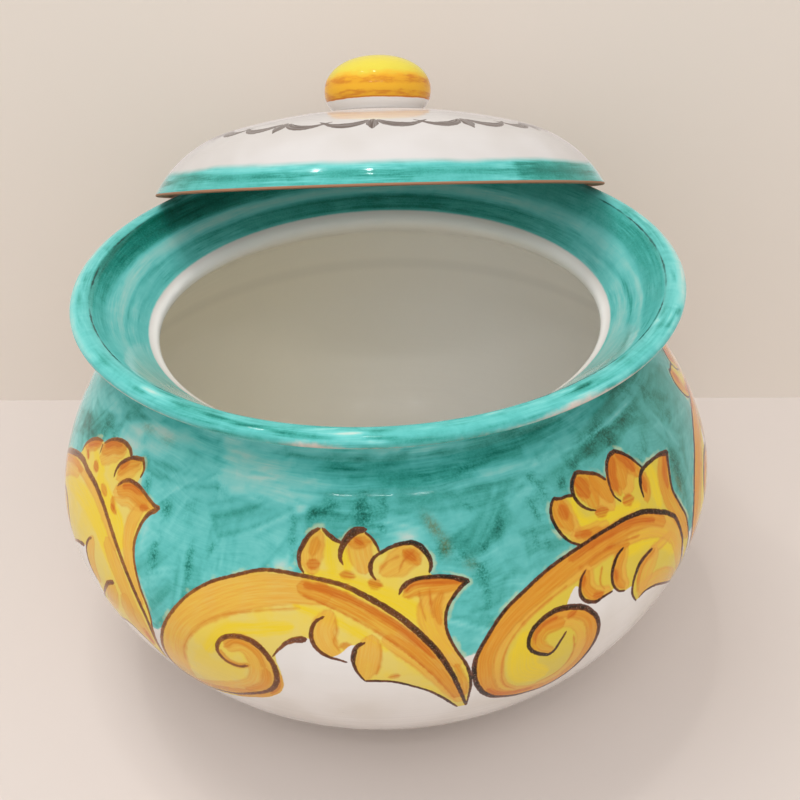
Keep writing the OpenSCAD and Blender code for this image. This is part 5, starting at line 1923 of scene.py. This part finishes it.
back_wall = stage_plane("wall", [(x, WALL_AT + WALL_TURN * x + WALL_LEAN * z, z)
                                 for x, z in ((-REACH, 0), (REACH, 0), (REACH, WALL_HEIGHT),
                                              (-REACH, WALL_HEIGHT))])
wall_finish, tree, output = new_material("plain_wall")
surface = add(tree, "BsdfDiffuse", {0: linear(230, 220, 209)})
clear = add(tree, "BsdfTransparent")
behind = add(tree, "NewGeometry").outputs["Backfacing"]
chosen = add(tree, "MixShader", {0: behind, 1: surface.outputs[0], 2: clear.outputs[0]})
tree.links.new(chosen.outputs[0], output.inputs[0])
back_wall.data.materials.append(wall_finish)
back_wall.visible_shadow = False
back_wall.visible_glossy = False
print("Table and wall are in place")

# %% [markdown]
# A soft lamp hangs overhead, a little to the left, and a wide one shines from the front; neither
# is mirrored. Two small lamps and a row of three short tubes add little light, but they are what
# the glaze mirrors as bright points and streaks. Places and sizes are in metres, powers in watts.

# %% Lamps
def lamp(name, place, target, size, power, tall=None, mirrored=True):
    """A round or oval lamp of a size in metres that faces a target."""
    data = bpy.data.lights.new(name, "AREA")
    data.shape = "ELLIPSE"
    data.size = size
    data.size_y = tall or size
    data.energy = power
    made = new_object(name, data)
    made.location = place
    made.rotation_euler = (Vector(target) - Vector(place)).to_track_quat("-Z", "Y").to_euler()
    made.visible_glossy = mirrored
    return made


BELLY_MIDDLE = (0, 0, 0.1)
LID_EDGE = (0, 0, 0.2)
lamp("overhead", (-0.30, 0.10, 1.30), BELLY_MIDDLE, size=0.5, power=3.9, mirrored=False)
lamp("front", (0.2, -1.1, 1.3), BELLY_MIDDLE, size=1.3, power=4.2, mirrored=False)
lamp("point_left", (-0.40, 0.20, 1.20), LID_EDGE, size=0.05, power=0.5)
lamp("point_top", (-0.06, 0.10, 1.25), LID_EDGE, size=0.05, power=0.5)
for x in (-0.26, -0.01, 0.25):
    lamp("strip", (x, -0.80, 1.12), BELLY_MIDDLE, size=0.15, power=0.3, tall=0.026)

# %% [markdown]
# The rest of the light comes evenly from the surroundings, which glow nearly white. What the
# camera and the glaze see of them is the colour of a plain wall.

# %% Surroundings
GLOW = 0.86
world = bpy.data.worlds.new("room")
bpy.context.scene.world = world
world.use_nodes = True
tree = world.node_tree
tree.nodes.clear()
path = add(tree, "LightPath")
seen = maths(tree, "MAXIMUM", path.outputs["Is Camera Ray"], path.outputs["Is Transmission Ray"])
seen = maths(tree, "MAXIMUM", seen, path.outputs["Is Glossy Ray"])
lit = add(tree, "Background", {0: linear(250, 250, 252), 1: GLOW})
shown = add(tree, "Background", {0: linear(212, 204, 196), 1: 1.0})
chosen = add(tree, "MixShader", {0: seen, 1: lit.outputs[0], 2: shown.outputs[0]})
output = tree.nodes.new("ShaderNodeOutputWorld")
tree.links.new(chosen.outputs[0], output.inputs[0])
bpy.context.scene.view_settings.view_transform = "Standard"
print("The surroundings shine at", GLOW)

# %% [markdown]
# ## Riding with the bodies
# Each skin rides with its body and stands for its CAD node, which is hidden. Last, each skin's box
# is set against its CAD part's box and the gap is printed, because they must agree.

# %% Ride, replace and measure
for piece, body, node, slot in ((pot, "pot", "pot", "pot_glaze"), (lid, "lid", "lid", "lid_glaze"),
                                (knob, "lid", "knob", "knob_glaze")):
    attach(piece, body)
    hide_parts(node)
    low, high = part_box(node)
    corners = np.array(piece.bound_box)
    print(piece.name, "is off its CAD box by", np.round(np.abs(np.concatenate([
        corners.min(0) - np.array(low), corners.max(0) - np.array(high)])).max() * 1000, 3), "mm")

bpy.context.view_layer.update()
